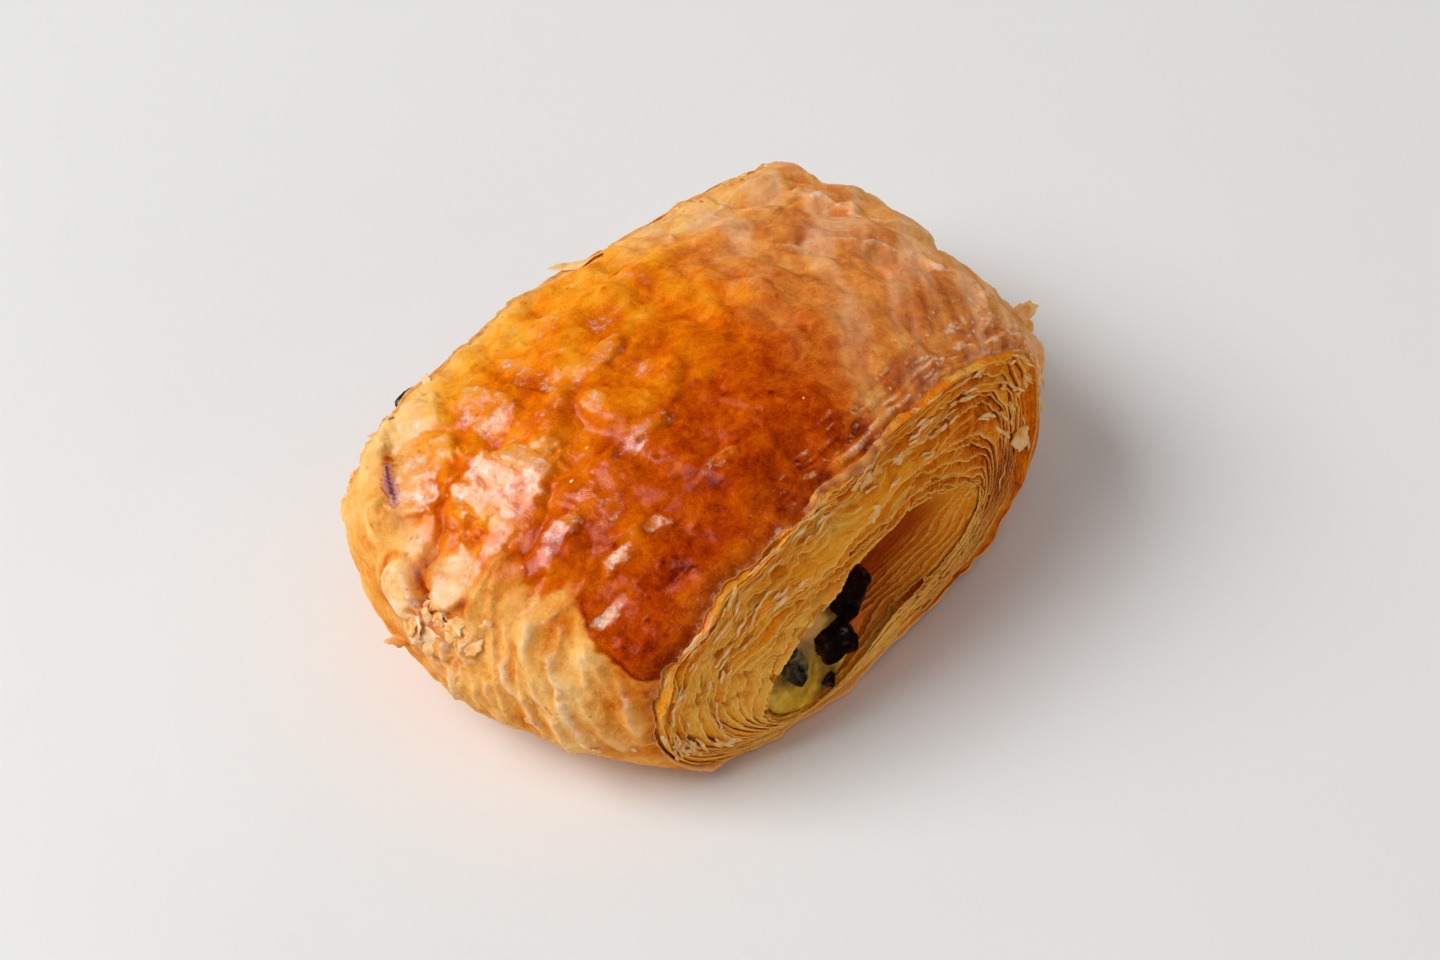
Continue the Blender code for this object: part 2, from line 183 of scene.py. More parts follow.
def mix_colours(tree, factor, first, second):
    """first where the factor is 0, second where it is 1."""
    node = tree.nodes.new("ShaderNodeMix")
    node.data_type = "RGBA"
    for name, value in (("Factor", factor), ("A", first), ("B", second)):
        socket = next(s for s in node.inputs if s.name == name and s.enabled)
        if isinstance(value, tuple):
            socket.default_value = (*value, 1.0)
        else:
            tree.links.new(value, socket)
    return next(s for s in node.outputs if s.enabled)


def bump(tree, shader, height, distance_mm, strength, target="Normal"):
    """Fine relief below the size of the mesh's own squares."""
    values = {"Height": height, "Distance": distance_mm * MM, "Strength": strength}
    fill(tree, shader, {target: add_node(tree, "ShaderNodeBump", values).outputs["Normal"]})


# %% Floor and lights
TABLE_HALF = 3.0
TABLE_WHITE = (0.85, 0.85, 0.85)
TABLE_SHADE = 0.985

table_mesh = bpy.data.meshes.new("table_top")
corners = [(TABLE_HALF * x, TABLE_HALF * y, 0) for x, y in ((-1, -1), (1, -1), (1, 1), (-1, 1))]
table_mesh.from_pydata(corners, [], [(0, 1, 2, 3)])
table_top = add_object("table_top", table_mesh)
table_finish, table_tree, table_shader = new_material("pale_table", 0.42, 0.35)
grain = speckle(table_tree, 40.0)
table_tint = mix_colours(table_tree, grain, TABLE_WHITE, tuple(TABLE_SHADE * part for part in TABLE_WHITE))
fill(table_tree, table_shader, {"Base Color": table_tint})
table_mesh.materials.append(table_finish)
table_top.visible_glossy = False


# In metres: the point over the origin that the lights face.
LIGHT_TARGET = Vector((0, 0, 0.02))


def soft_light(name, turn, rise, distance, size, power, colour, mirrored=False, fills=True):
    """A flat light that faces the pastry from a turn and rise in degrees; sizes in metres, power in watts.

    Only a mirrored light shows in glossy surfaces, so the others lay no grey haze over deep colours. A light
    that doesn't fill shows in gloss alone: it can be large without making the whole pastry brighter.
    """
    data = bpy.data.lights.new(name, "AREA")
    data.shape = "RECTANGLE"
    data.size, data.size_y = size
    data.energy = power
    data.color = colour
    thing = add_object(name, data)
    away = direction(math.radians(turn), math.radians(rise))
    thing.location = LIGHT_TARGET + away * distance
    thing.rotation_euler = looking_back(away)
    thing.visible_glossy = mirrored
    thing.visible_diffuse = fills


WINDOW_TURN, WINDOW_RISE = -126.0, 43.0
WINDOW_SIZE, WINDOW_COLOUR = (0.90, 0.95), (1.0, 0.93, 0.97)
soft_light(
    "window", WINDOW_TURN, WINDOW_RISE, 1.1, WINDOW_SIZE, 46.0, WINDOW_COLOUR, mirrored=True, fills=False)
soft_light("key_sheet", -129.0, 45.0, 1.8, (1.3, 1.1), 32.0, (1.0, 1.0, 0.99))
soft_light("top_sheet", 20.0, 80.0, 1.6, (1.6, 1.6), 1.3, (1.0, 0.99, 0.98))
soft_light("grazing_card", 106.0, 13.0, 1.3, (1.3, 0.5), 4.2, (1.0, 0.95, 0.88))
soft_light("front_card", 8.0, 10.0, 1.2, (1.4, 0.5), 3.6, (1.0, 0.86, 0.70))
SKY_COLOUR, SKY_STRENGTH = (0.97, 0.985, 1.0, 1.0), 0.20
sky = bpy.data.worlds.new("sky")
bpy.context.scene.world = sky
sky.use_nodes = True
fill(sky.node_tree, sky.node_tree.nodes["Background"], {"Color": SKY_COLOUR, "Strength": SKY_STRENGTH})
sky.cycles_visibility.glossy = False
bpy.context.scene.view_settings.view_transform = "Standard"
towards_window = direction(math.radians(WINDOW_TURN), math.radians(WINDOW_RISE))
window_mirror = np.array((towards_window + towards_camera).normalized())

# %% [markdown]
# ## Tools for uneven dough
# Nothing on a baked pastry is regular, so most shapes below are a plain formula plus noise. Lattice noise
# gives every corner of a cubic grid a random slope and blends the slopes smoothly inside each cube. It is
# worked out on whole arrays at once, so a hundred thousand points take a moment.

# %% Noise and easing on arrays


def lattice_noise(points, cell, seed):
    """Smooth noise of about -1 to 1 with features of one cell, in the points' own unit.

    Each of the eight corners of a point's cube has a seeded unit slope. The value is the slope times the
    way from the corner, blended by a fifth-degree ease in x, y and z.
    """
    rng = np.random.default_rng(seed)
    slopes = rng.normal(size=(256, 3))
    slopes /= np.linalg.norm(slopes, axis=1)[:, None]
    shuffle = rng.permutation(256)
    scaled = np.asarray(points, float) / cell
    corner_index = np.floor(scaled).astype(int)
    inside = scaled - corner_index
    ease = inside ** 3 * (inside * (inside * 6 - 15) + 10)
    total = 0.0
    for step in np.ndindex(2, 2, 2):
        offset = np.array(step)
        at = corner_index + offset
        code = shuffle[(shuffle[(shuffle[at[..., 0] & 255] + at[..., 1]) & 255] + at[..., 2]) & 255]
        slope = slopes[code]
        share = np.prod(np.where(offset == 1, ease, 1 - ease), axis=-1)
        total = total + share * (slope * (inside - offset)).sum(-1)
    return total * 1.9


def layered_noise(points, *layers):
    """The sum of (amount, cell, seed) layers of noise."""
    return sum(amount * lattice_noise(points, cell, seed) for amount, cell, seed in layers)


def warped(points, amount, cell, seed):
    """The points, moved by up to an amount in x, y and z by noises with three seeds in a row."""
    return points + amount * np.stack([lattice_noise(points, cell, seed + axis) for axis in range(3)], -1)


def smooth_step(value, low, high):
    """0 below low, 1 above high, and an S-shaped ease between them; high may be the smaller one."""
    share = np.clip((value - low) / (high - low), 0, 1)
    return share * share * (3 - 2 * share)


def unit(vector):
    """One vector at length 1."""
    return vector / np.linalg.norm(vector)


def crumple(points, size, seed):
    """Flat facets between sharp folds, about -1 to 1: triangle waves in seeded directions, bent by noise."""
    rng = np.random.default_rng(seed)
    total = 0.0
    waves = 5
    for wave in range(waves):
        way = unit(rng.normal(size=3))
        travel = points @ way / (size * rng.uniform(0.7, 1.4))
        travel = travel + 0.45 * lattice_noise(points, 1.6 * size, seed + wave)
        total = total + 4 * np.abs(travel % 1 - 0.5) - 1
    return total / math.sqrt(waves)


def creases(points, cell, seed, sharpness=3.0):
    """Thin connected lines: 1 where the noise passes through zero, falling off to both sides."""
    return np.clip(1 - np.abs(lattice_noise(points, cell, seed)) * 2.2, 0, 1) ** sharpness


def crease_pairs(points, coarse, fine, seed):
    """Long creases of a coarse cell, and fainter ones of a fine cell between them."""
    return creases(points * (1, 0.6, 1), coarse, seed) + 0.6 * creases(points, fine, seed + 1)


def signed_power(value, exponent):
    """The power of the size, with the sign kept: it turns a circle into a rounded box."""
    return np.sign(value) * np.abs(value) ** exponent


# %% Grids of points as meshes


def grid_quads(rows, columns, close_rows=False):
    """Four-cornered faces of a grid whose columns close round; close_rows joins its last row to the first."""
    index = np.arange(rows * columns).reshape(rows, columns)
    below = index if close_rows else index[:-1]
    above = np.roll(index, -1, axis=0) if close_rows else index[1:]
    return np.stack([below, np.roll(below, -1, 1), np.roll(above, -1, 1), above], -1).reshape(-1, 4)


def grid_mesh(name, points, material, close_rows=False, flip=False, marks=None):
    """A mesh from a grid of points: rows along the first axis, columns closed round the second.

    points has the shape (rows, columns, 3), in millimetres. marks holds one value a point by name. With
    close_rows the last row joins the first; flip turns the faces over.
    """
    quads = grid_quads(*points.shape[:2], close_rows)
    if flip:
        quads = quads[:, ::-1]
    return mesh_piece(name, points.reshape(-1, 3), quads, material, marks)


def mesh_piece(name, points, quads, material, marks):
    """An object at the origin from points in millimetres and four-cornered faces."""
    mesh = bpy.data.meshes.new(name)
    mesh.vertices.add(len(points))
    mesh.vertices.foreach_set("co", ((points - MIDDLE) * MM).astype(np.float32).ravel())
    mesh.loops.add(quads.size)
    mesh.loops.foreach_set("vertex_index", quads.astype(np.int32).ravel())
    mesh.polygons.add(len(quads))
    mesh.polygons.foreach_set("loop_start", np.arange(0, quads.size, 4, dtype=np.int32))
    mesh.polygons.foreach_set("use_smooth", np.ones(len(quads), bool))
    mesh.update(calc_edges=True)
    for mark, values in (marks or {}).items():
        layer = mesh.attributes.new(mark, "FLOAT", "POINT")
        layer.data.foreach_set("value", np.asarray(values, np.float32).ravel())
    mesh.materials.append(material)
    print(f"{name}: {2 * len(quads)} triangles")
    return add_object(name, mesh)


def grid_normals(points):
    """Unit normals of a grid whose columns close round, from the differences between neighbours."""
    around = np.roll(points, -1, 1) - np.roll(points, 1, 1)
    along = np.gradient(points, axis=0)
    normal = np.cross(around, along)
    return normal / (np.linalg.norm(normal, axis=-1, keepdims=True) + 1e-9)


# %% [markdown]
# ## The form of the roll
# On the bench the dough is folded over the filling like a letter, so a section across the roll is a
# rounded box, flat where it stood. The same named sizes as the solids give that section here. The angle
# goes round the roll (0 at the right end, 90 on top), and the place goes along it, from the front rim of
# the skin at -1 to the back rim at +1.

# %% Sizes of the roll
LEFT_REACH = (46.0, 59.0, 46.5)
RIGHT_REACH = (53.0, 63.5, 60.0)
LEFT_HEIGHT = (40.0, 43.5, 42.0)
MIDDLE_HEIGHT = (47.0, 49.5, 37.0)
RIGHT_HEIGHT = (47.0, 47.5, 35.5)
LEFT_BELLY, RIGHT_BELLY = 18.0, 24.0
TOP_ROUNDNESS, FOOT_ROUNDNESS = 2.2, 2.6
FOOT_SINK, FOOT_EASE, FOOT_TRIM = 3.0, 1.1, 0.33
HALF_WIDTH, FRONT_LEAN, BACK_LEAN, LEAN_HEIGHT = 37.3, 5.5, 6.6, 46.5
FACE_BOW = 5.7
HEART, HEART_STRETCH = 20.0, 1.6
# Swellings and dents: angle, place, the two spreads, rise.
SWELLINGS = (
    (27, 0.88, 16, 0.34, 4.0), (62, 1.00, 17, 0.30, -3.0), (14, 0.20, 15, 0.45, 2.2),
    (8, -0.78, 15, 0.26, 2.4), (-22, -0.80, 16, 0.24, 4.5), (150, 0.90, 20, 0.40, 2.2),
    (110, 0.90, 18, 0.40, -2.8),
)
# Pleats on the back right shoulder: the hollow's two ends in plan, its half width and its depth.
PLEATS = (((30.0, 9.0), (47.0, -12.0), 2.6, 2.2), ((44.0, 27.0), (59.0, -4.0), 2.8, 2.4))
BLISTERS = ((15.0, 0.55), (8.5, 0.35))

# %% Skin as a function of angle and place


def through(values, place):
    """The parabola through three values given at places -1, 0 and 1."""
    first, middle, last = values
    return middle + (last - first) / 2 * place + ((first + last) / 2 - middle) * place * place


def reach_at(side, place):
    """Half length of the roll at a place: to the left where side is below 0, else to the right."""
    return np.where(side < 0, through(LEFT_REACH, place), through(RIGHT_REACH, place))


def ripple(points, wavelength, seed):
    """A soft wave of about unit height: a sum of seven sines in seeded directions."""
    rng = np.random.default_rng(seed)
    total = 0.0
    waves = 7
    for _ in range(waves):
        way = unit(rng.normal(size=3))
        length = wavelength * rng.uniform(0.75, 1.4)
        phase = rng.uniform(0, 2 * math.pi)
        total = total + np.sin(points @ way * (2 * math.pi / length) + phase)
    return total * math.sqrt(2 / waves)


def side_depth(height, place, across):
    """How far a cut side stands from the middle plane: less with height, more in the middle of its length."""
    rise = np.clip(height / LEAN_HEIGHT, 0, 1.3) ** 1.5
    bow = FACE_BOW * (1 - np.clip(across, -1, 1) ** 2)
    return HALF_WIDTH - np.where(place < 0, FRONT_LEAN, BACK_LEAN) * rise + bow


def bell(value, half_width):
    """A smooth hump of height 1 round zero."""
    return np.exp(-(value / half_width) ** 2)


def pleat_drop(x, y):
    """Depth of the pleats at plan positions: a bell across each hollow, fading at its ends."""
    drop = 0.0
    for start, end, half_width, depth in PLEATS:
        run = np.array(end) - np.array(start)
        length = np.linalg.norm(run)
        run = unit(run)
        along = (x - start[0]) * run[0] + (y - start[1]) * run[1]
        across = (x - start[0]) * run[1] - (y - start[1]) * run[0]
        beyond = np.maximum(np.maximum(-along, along - length), 0)
        drop = drop + depth * bell(across, half_width) * bell(beyond, 4.0)
    return drop


def skin_point(angle, place):
    """Points of the outer skin: a rounded box section, swollen, pleated and blistered, flat at its foot."""
    cosine, sine = np.cos(angle), np.sin(angle)
    across = signed_power(cosine, np.where(sine > 0, 2 / TOP_ROUNDNESS, 2 / FOOT_ROUNDNESS))
    x = reach_at(cosine, place) * across
    left, middle, right = (through(row, place) for row in (LEFT_HEIGHT, MIDDLE_HEIGHT, RIGHT_HEIGHT))
    top = middle + (right - left) / 2 * across + ((left + right) / 2 - middle) * across ** 2
    belly = LEFT_BELLY + (RIGHT_BELLY - LEFT_BELLY) * (across + 1) / 2
    above = belly + (top - belly) * np.abs(sine) ** (2 / TOP_ROUNDNESS)
    below = belly - (belly + FOOT_SINK) * np.abs(sine) ** (2 / FOOT_ROUNDNESS)
    z = np.where(sine > 0, above, below)
    rise = 0 * x
    for turn, where, spread, along, amount in SWELLINGS:
        apart = (np.degrees(angle) - turn + 180) % 360 - 180
        rise = rise + amount * bell(apart, spread) * bell(place - where, along)
    y = place * side_depth(z, place, across)
    upper = np.clip((z - 14) / 16, 0, 1)
    rise = rise - pleat_drop(x, y) * upper
    for seed, (wavelength, height) in enumerate(BLISTERS):
        rise = rise + height * upper * ripple(np.stack([x, y, z], -1), wavelength, seed)
    side, up = x, (z - HEART) * HEART_STRETCH
    size = np.hypot(side, up) + 1e-6
    x = x + rise * side / size
    z = z + rise * up / size
    z = np.maximum(FOOT_EASE * np.logaddexp(0, z / FOOT_EASE) - FOOT_TRIM, 0)
    return np.stack([x, place * side_depth(z, place, across), z], -1)


# %% Mouths of the filling, and the cut sides round them
FRONT_MOUTH = {"left": -26.8, "right": 27.2, "half": 9.6, "middle": 22.4, "droop": 0.34, "bend": 1.0,
               "sag": 0.28, "round": 2.3}
BACK_MOUTH = {"left": -22.0, "right": 24.0, "half": 7.0, "middle": 18.0, "droop": 0.10, "bend": 0.0,
              "sag": 0.0, "round": 2.3}
FRONT_TUNNEL = {"left": -25.8, "right": -1.0, "half": 7.4, "middle": 21.3, "droop": 0.34, "bend": 1.0,
                "sag": 0.28, "round": 2.0}
BACK_TUNNEL = {"left": -21.0, "right": 22.0, "half": 6.4, "middle": 18.0, "droop": 0.10, "bend": 0.0,
               "sag": 0.0, "round": 2.1}
MOUTH_SOFTNESS = 3.0
POCKET_DEPTH, BACK_POCKET_DEPTH = 12.0, 8.0
LIP_PROUD = 2.6
CUSTARD_RECESS, CUSTARD_SLOPE = 1.9, 0.16


def blend_mouths(first, second, share):
    """A mouth part of the way from the first to the second."""
    return {key: first[key] * (1 - share) + second[key] * share for key in first}


def mouth_span(mouth):
    """Centre and half length of a mouth along x."""
    return (mouth["left"] + mouth["right"]) / 2, (mouth["right"] - mouth["left"]) / 2


def mouth_bend(x, mouth):
    """Height of a mouth's bent middle line at x, and how many times deeper its lower half is there."""
    hang = mouth["droop"] * MOUTH_SOFTNESS * np.logaddexp(0, (mouth["bend"] - x) / MOUTH_SOFTNESS)
    left_share = 1 / (1 + np.exp((x + MOUTH_SOFTNESS) / MOUTH_SOFTNESS))
    return mouth["middle"] - hang, 1 + mouth["sag"] * left_share


def mouth_loop(angle, mouth, inset=0.0):
    """The x and z of a loop round the filling: a rounded slot whose left part hangs down."""
    centre, half_length = mouth_span(mouth)
    x = centre + (half_length - inset) * signed_power(np.cos(angle), 2 / mouth["round"])
    rise = (mouth["half"] - inset) * signed_power(np.sin(angle), 2 / mouth["round"])
    line, deeper = mouth_bend(x, mouth)
    return x, line + np.where(rise < 0, rise * deeper, rise)


def cut_face(angle, share, place, mouth):
    """Points of a cut side, from the rim of the skin (share 0) to the lip of the mouth (share 1)."""
    rim = skin_point(angle, place + 0 * angle)
    share = share + 0 * angle
    lip_x, lip_z = mouth_loop(angle, mouth)
    x = rim[..., 0] * (1 - share) + lip_x * share
    z = rim[..., 2] * (1 - share) + lip_z * share
    depth = side_depth(z, place, x / reach_at(x, place)) + LIP_PROUD * (1 - (1 - share) ** 2)
    depth = depth * share + np.abs(rim[..., 1]) * (1 - share)
    return np.stack([x, place * depth, z], -1)


print("roll: %.0f mm long, %.0f mm high" % (LEFT_REACH[1] + RIGHT_REACH[1], MIDDLE_HEIGHT[1]))

# %% [markdown]
# ## The baked skin
# The outermost sheet was brushed with egg in a broad band across the top. There it baked deep orange and
# glossy, and it stayed pale and dull at both ends. The sheet is modelled as a thin closed sleeve: a fine
# outer grid, a turned rim at each cut side, and a plain inner grid. Moving the points of the grid itself
# makes the wrinkles real in every view, and each point also carries marks that say how it was baked, and
# where highlight and shade are painted on.

# %% Where the egg wash lies
# The band's left and right edges: place along the roll, angle in degrees.
WASH_LEFT = ((-1.05, 160), (-0.85, 157), (-0.65, 150), (-0.53, 145), (-0.42, 141), (-0.37, 146), (-0.30, 146),
             (-0.20, 143), (0.10, 142), (0.35, 147), (0.60, 141), (0.80, 129), (1.05, 119))
WASH_RIGHT = ((-1.05, 95), (-0.90, 88), (-0.70, 83), (-0.30, 79), (0.30, 73), (0.70, 69), (1.05, 70))


def wash_mask(points, degrees, place):
    """1 inside the brushed band, 0 outside: crisp at the front left, where the brush stopped, else frayed."""
    left = np.interp(place, *zip(*WASH_LEFT))
    right = np.interp(place, *zip(*WASH_RIGHT))
    loose = smooth_step(place, -0.50, 0.0)
    fray = layered_noise(points, (5.0, 9.0, 11), (3.0, 3.0, 12), (1.4, 1.3, 13))
    soft = 1.3 + 4.0 * loose
    inside_left = smooth_step(degrees + fray * (0.35 + 0.65 * loose), left + soft, left - soft)
    return inside_left * smooth_step(degrees + 1.3 * fray, right - 9.0, right + 8.0)


MM_PER_DEGREE, MM_PER_PLACE = 0.86, 37.0


def unrolled(degrees, place):
    """The skin laid flat, in millimetres: round the roll, along the roll, and nought."""
    return np.stack([MM_PER_DEGREE * degrees, MM_PER_PLACE * place, 0 * degrees], -1)


def slanted(degrees, place, slant):
    """The skin laid flat and sheared: it shifts round the roll by a slant for each millimetre along it."""
    return unrolled(degrees, place) @ np.array([[1.0, 0, 0], [slant, 1.0, 0], [0, 0, 1]])


# Darker and paler spots, mostly of baking. The one at angle 149, place -0.16 is painted shade beside a fold's
# crest, and the one at angle 14, place -0.30 paints the dim right end paler: angle, place, the two spreads,
# strength (above 0 is darker).
BAKE_AND_LIGHT_SPOTS = (
    (95, -0.66, 15, 0.28, 0.13), (153, -0.93, 9, 0.13, 0.20), (125, -0.40, 8, 0.09, 0.10),
    (111, 0.45, 4, 0.34, 0.13), (148, -0.52, 4, 0.08, 0.12), (112, 0.95, 20, 0.14, -0.16),
    (150, 0.90, 26, 0.24, -0.12), (186, -0.48, 4, 0.10, 0.20), (99, -0.20, 6, 0.14, -0.10),
    (4, -0.90, 6, 0.08, 0.10), (170, -0.86, 9, 0.07, 0.18), (130, -0.80, 9, 0.16, 0.07),
    (118, -0.45, 9, 0.14, 0.08), (146, -0.55, 6, 0.12, 0.06), (149, -0.16, 9, 0.06, 0.12),
    (155, -0.07, 2.5, 0.04, 0.45), (158, 0.26, 8, 0.08, 0.25), (30, 0.30, 12, 0.30, 0.04),
    (50, 0.16, 7, 0.15, 0.14), (20, -0.45, 14, 0.25, 0.05), (52, -0.60, 8, 0.16, 0.10),
    (55, 0.86, 20, 0.24, -0.22), (28, 0.72, 12, 0.24, 0.10), (70, -0.82, 7, 0.08, 0.12),
    (14, -0.30, 15, 1.1, -0.26), (161, 0.12, 6, 0.12, 0.18), (145, -0.50, 6, 0.10, 0.12),
    (162, -0.85, 8, 0.12, 0.10), (122, -0.85, 12, 0.14, 0.07), (92, 0.50, 16, 0.22, 0.05),
    (168, 0.30, 0.7, 0.012, 0.40), (161, 0.35, 0.6, 0.010, 0.40), (156, 0.62, 0.8, 0.015, 0.40),
    (128, -0.20, 8, 0.07, 0.10), (118, -0.22, 8, 0.07, 0.07), (55, 0.15, 8, 0.12, 0.08),
)
# A scorched mark that leans over the skin: angle, place, the two half sizes and its lean.
SCORCH = (144.5, 0.66, 1.5, 0.095, 1.3)
# Pale patches: films where the outermost sheet lifted off and dried flat, set where the window mirrors in the
# glaze, so their pale pink is partly a painted highlight: angle, place, half sizes, strength.
FILMS_AND_PAINTED_HIGHLIGHTS = (
    (129.5, 0.12, 10, 0.18, 1.0), (138, 0.0, 6, 0.07, 0.80), (151, 0.05, 7, 0.10, 0.70),
    (150, 0.34, 6, 0.07, 0.60), (138.5, 0.55, 8.5, 0.13, 0.90), (133, 0.78, 7, 0.12, 0.65),
    (120, 0.50, 4.5, 0.18, 0.80), (119, 0.28, 4, 0.05, 0.45), (108, 0.48, 2.6, 0.18, 0.65),
    (102, 0.25, 6, 0.05, 0.45), (107, 0.03, 1.8, 0.08, 0.80), (112, 0.22, 3, 0.04, 0.40),
    (134, -0.275, 6.5, 0.065, 0.85), (122, -0.22, 3, 0.04, 0.45), (108, -0.235, 4.5, 0.04, 0.75),
    (141.5, -0.655, 5.5, 0.026, 0.75), (121, -0.38, 3, 0.04, 0.35), (147, -0.33, 4, 0.05, 0.45),
    (129.5, -0.545, 5.8, 0.032, 0.80), (120.8, -0.585, 2.8, 0.045, 0.75), (106, -0.62, 4, 0.03, 0.45),
    (97, 0.02, 2.5, 0.05, 0.35), (84, 0.55, 2.0, 0.08, 0.3), (98, 0.66, 3, 0.10, 0.3),
    (92, 0.42, 3, 0.06, 0.3),
)
# How far a patch turns from the skin's own slope to the one that mirrors the window, and the most, in
# millimetres, that it stands off.
FACET_LEAN, FACET_LIMIT = 0.45, 1.5


def add_spots(total, across, along, spots):
    """total plus a soft spot for each (place across, place along, the two spreads, amount)."""
    for middle, where, wide, long, amount in spots:
        total = total + amount * bell(across - middle, wide) * bell(along - where, long)
    return total


def spot_reach(degrees, place, spot, torn):
    """Distance from a spot's middle in shares of its half sizes, roughened by the noise torn."""
    turn, where, round_half, long_half = spot[:4]
    return np.hypot((degrees - turn) / round_half, (place - where) / long_half) + torn


def film_noise(points):
    """The noise that frays the edges of the pale patches."""
    return layered_noise(points, (0.36, 5.0, 24), (0.22, 2.2, 25), (0.14, 0.9, 26))


def flattened(points, normals, degrees, place, relief):
    """The relief with a flat facet in the place of each pale patch.

    The facet is a plane through the patch's middle. Its normal is the skin's own normal, moved part of the
    way to the one that mirrors the window. The plane's height over each point follows from both normals.
    """
    torn = film_noise(points)
    wrinkled = 0.13 * lattice_noise(points * (1, 0.6, 1), 1.9, 88) + 0.10 * crumple(points, 4.0, 89)
    for film in FILMS_AND_PAINTED_HIGHLIGHTS:
        turn, where, _, _, amount = film
        row, column = np.abs(places - where).argmin(), np.abs(degrees[0] - turn).argmin()
        middle, normal = points[row, column], normals[row, column]
        lean = normal + FACET_LEAN * (window_mirror - normal)
        height = ((middle - points) @ lean) / np.maximum(normals @ lean, 0.3)
        height = np.clip(height, -FACET_LIMIT, FACET_LIMIT) + relief[row, column]
        near = amount * smooth_step(spot_reach(degrees, place, film, torn), 1.35, 0.90)
        relief = relief * (1 - near) + (height + wrinkled) * near
    return relief


# The size from which a pale patch counts as large: the product of its half sizes. For large and small ones:
# how torn the edges are, and where the patch begins and is whole.
LARGE_PATCH = 0.6
LARGE_EDGE, SMALL_EDGE = (1.0, 1.15, 0.85), (1.9, 1.30, 0.55)


def film_mask(points, degrees, place):
    """0 to 1: the named pale patches with torn edges: dried films, and in part a painted highlight of the
    window.
    """
    torn = film_noise(points)
    total = 0 * degrees
    for film in FILMS_AND_PAINTED_HIGHLIGHTS:
        raggedness, begins, whole = LARGE_EDGE if film[2] * film[3] > LARGE_PATCH else SMALL_EDGE
        reach = spot_reach(degrees, place, film, torn * raggedness)
        total = np.maximum(total, film[4] * smooth_step(reach, begins, whole))
    cracked = crease_pairs(points, 4.4, 2.0, 28)
    return total * np.clip(0.85 + 0.45 * lattice_noise(points, 3.4, 27) - 0.50 * cracked, 0, 1)


def veil_mask(degrees, place, wash):
    """0 to 1: thin dry skin over the bare dough, in part a painted sheen, in soft drawn-out clouds, mostly on
    the right shoulder.
    """
    laid = slanted(degrees, place, 0.7)
    cloud = lattice_noise(laid * (1, 0.45, 1), 9.0, 26) + 0.5 * lattice_noise(laid * (1, 0.4, 1), 3.6, 27)
    cloud = cloud + 0.25 * lattice_noise(laid * (1, 0.3, 1), 1.4, 28)
    right = smooth_step(degrees, 90, 60) * (0.16 + 0.70 * smooth_step(cloud, -0.35, 0.65))
    right = right + 0.22 * bell(degrees - 18, 16) * (1 + cloud)
    left = smooth_step(degrees, 140, 156) * smooth_step(place, -0.25, 0.10) * 0.55
    left = left * smooth_step(cloud, -0.3, 0.5)
    left = left * (1 - 0.9 * smooth_step(place, 0.34, 0.55) * smooth_step(degrees, 146, 156))
    return np.clip(np.maximum(right, left) * (1 - 0.85 * wash), 0, 1)


STREAK_SLANT = 0.35


def baked(points, degrees, place, wash):
    """How dark the skin is, 0 to 1: baked darker to the front under the wash, plus the spots, two of them
    painted shade and light, and streaks.
    """
    brushed = 0.50 - 0.36 * np.clip(place, -0.58, 0) - 0.28 * np.clip(place, 0, 1)
    bare = 0.44 + 0.19 * smooth_step(degrees, 110, 70) - 0.08 * smooth_step(place, 0.3, 1.0)
    tone = add_spots(bare + (brushed - bare) * wash, degrees, place, BAKE_AND_LIGHT_SPOTS)
    streaky = lattice_noise(slanted(degrees, place, STREAK_SLANT) * (1, 0.30, 1), 2.4, 23)
    tone = tone + 0.12 * lattice_noise(points, 8.0, 21) + 0.09 * lattice_noise(points, 3.2, 22)
    drip = 4 * wash * (1 - wash) * smooth_step(place, -0.42, -0.60) * smooth_step(degrees, 110, 122)
    return tone + streaky * 0.10 * smooth_step(degrees, 112, 96) + 0.34 * drip


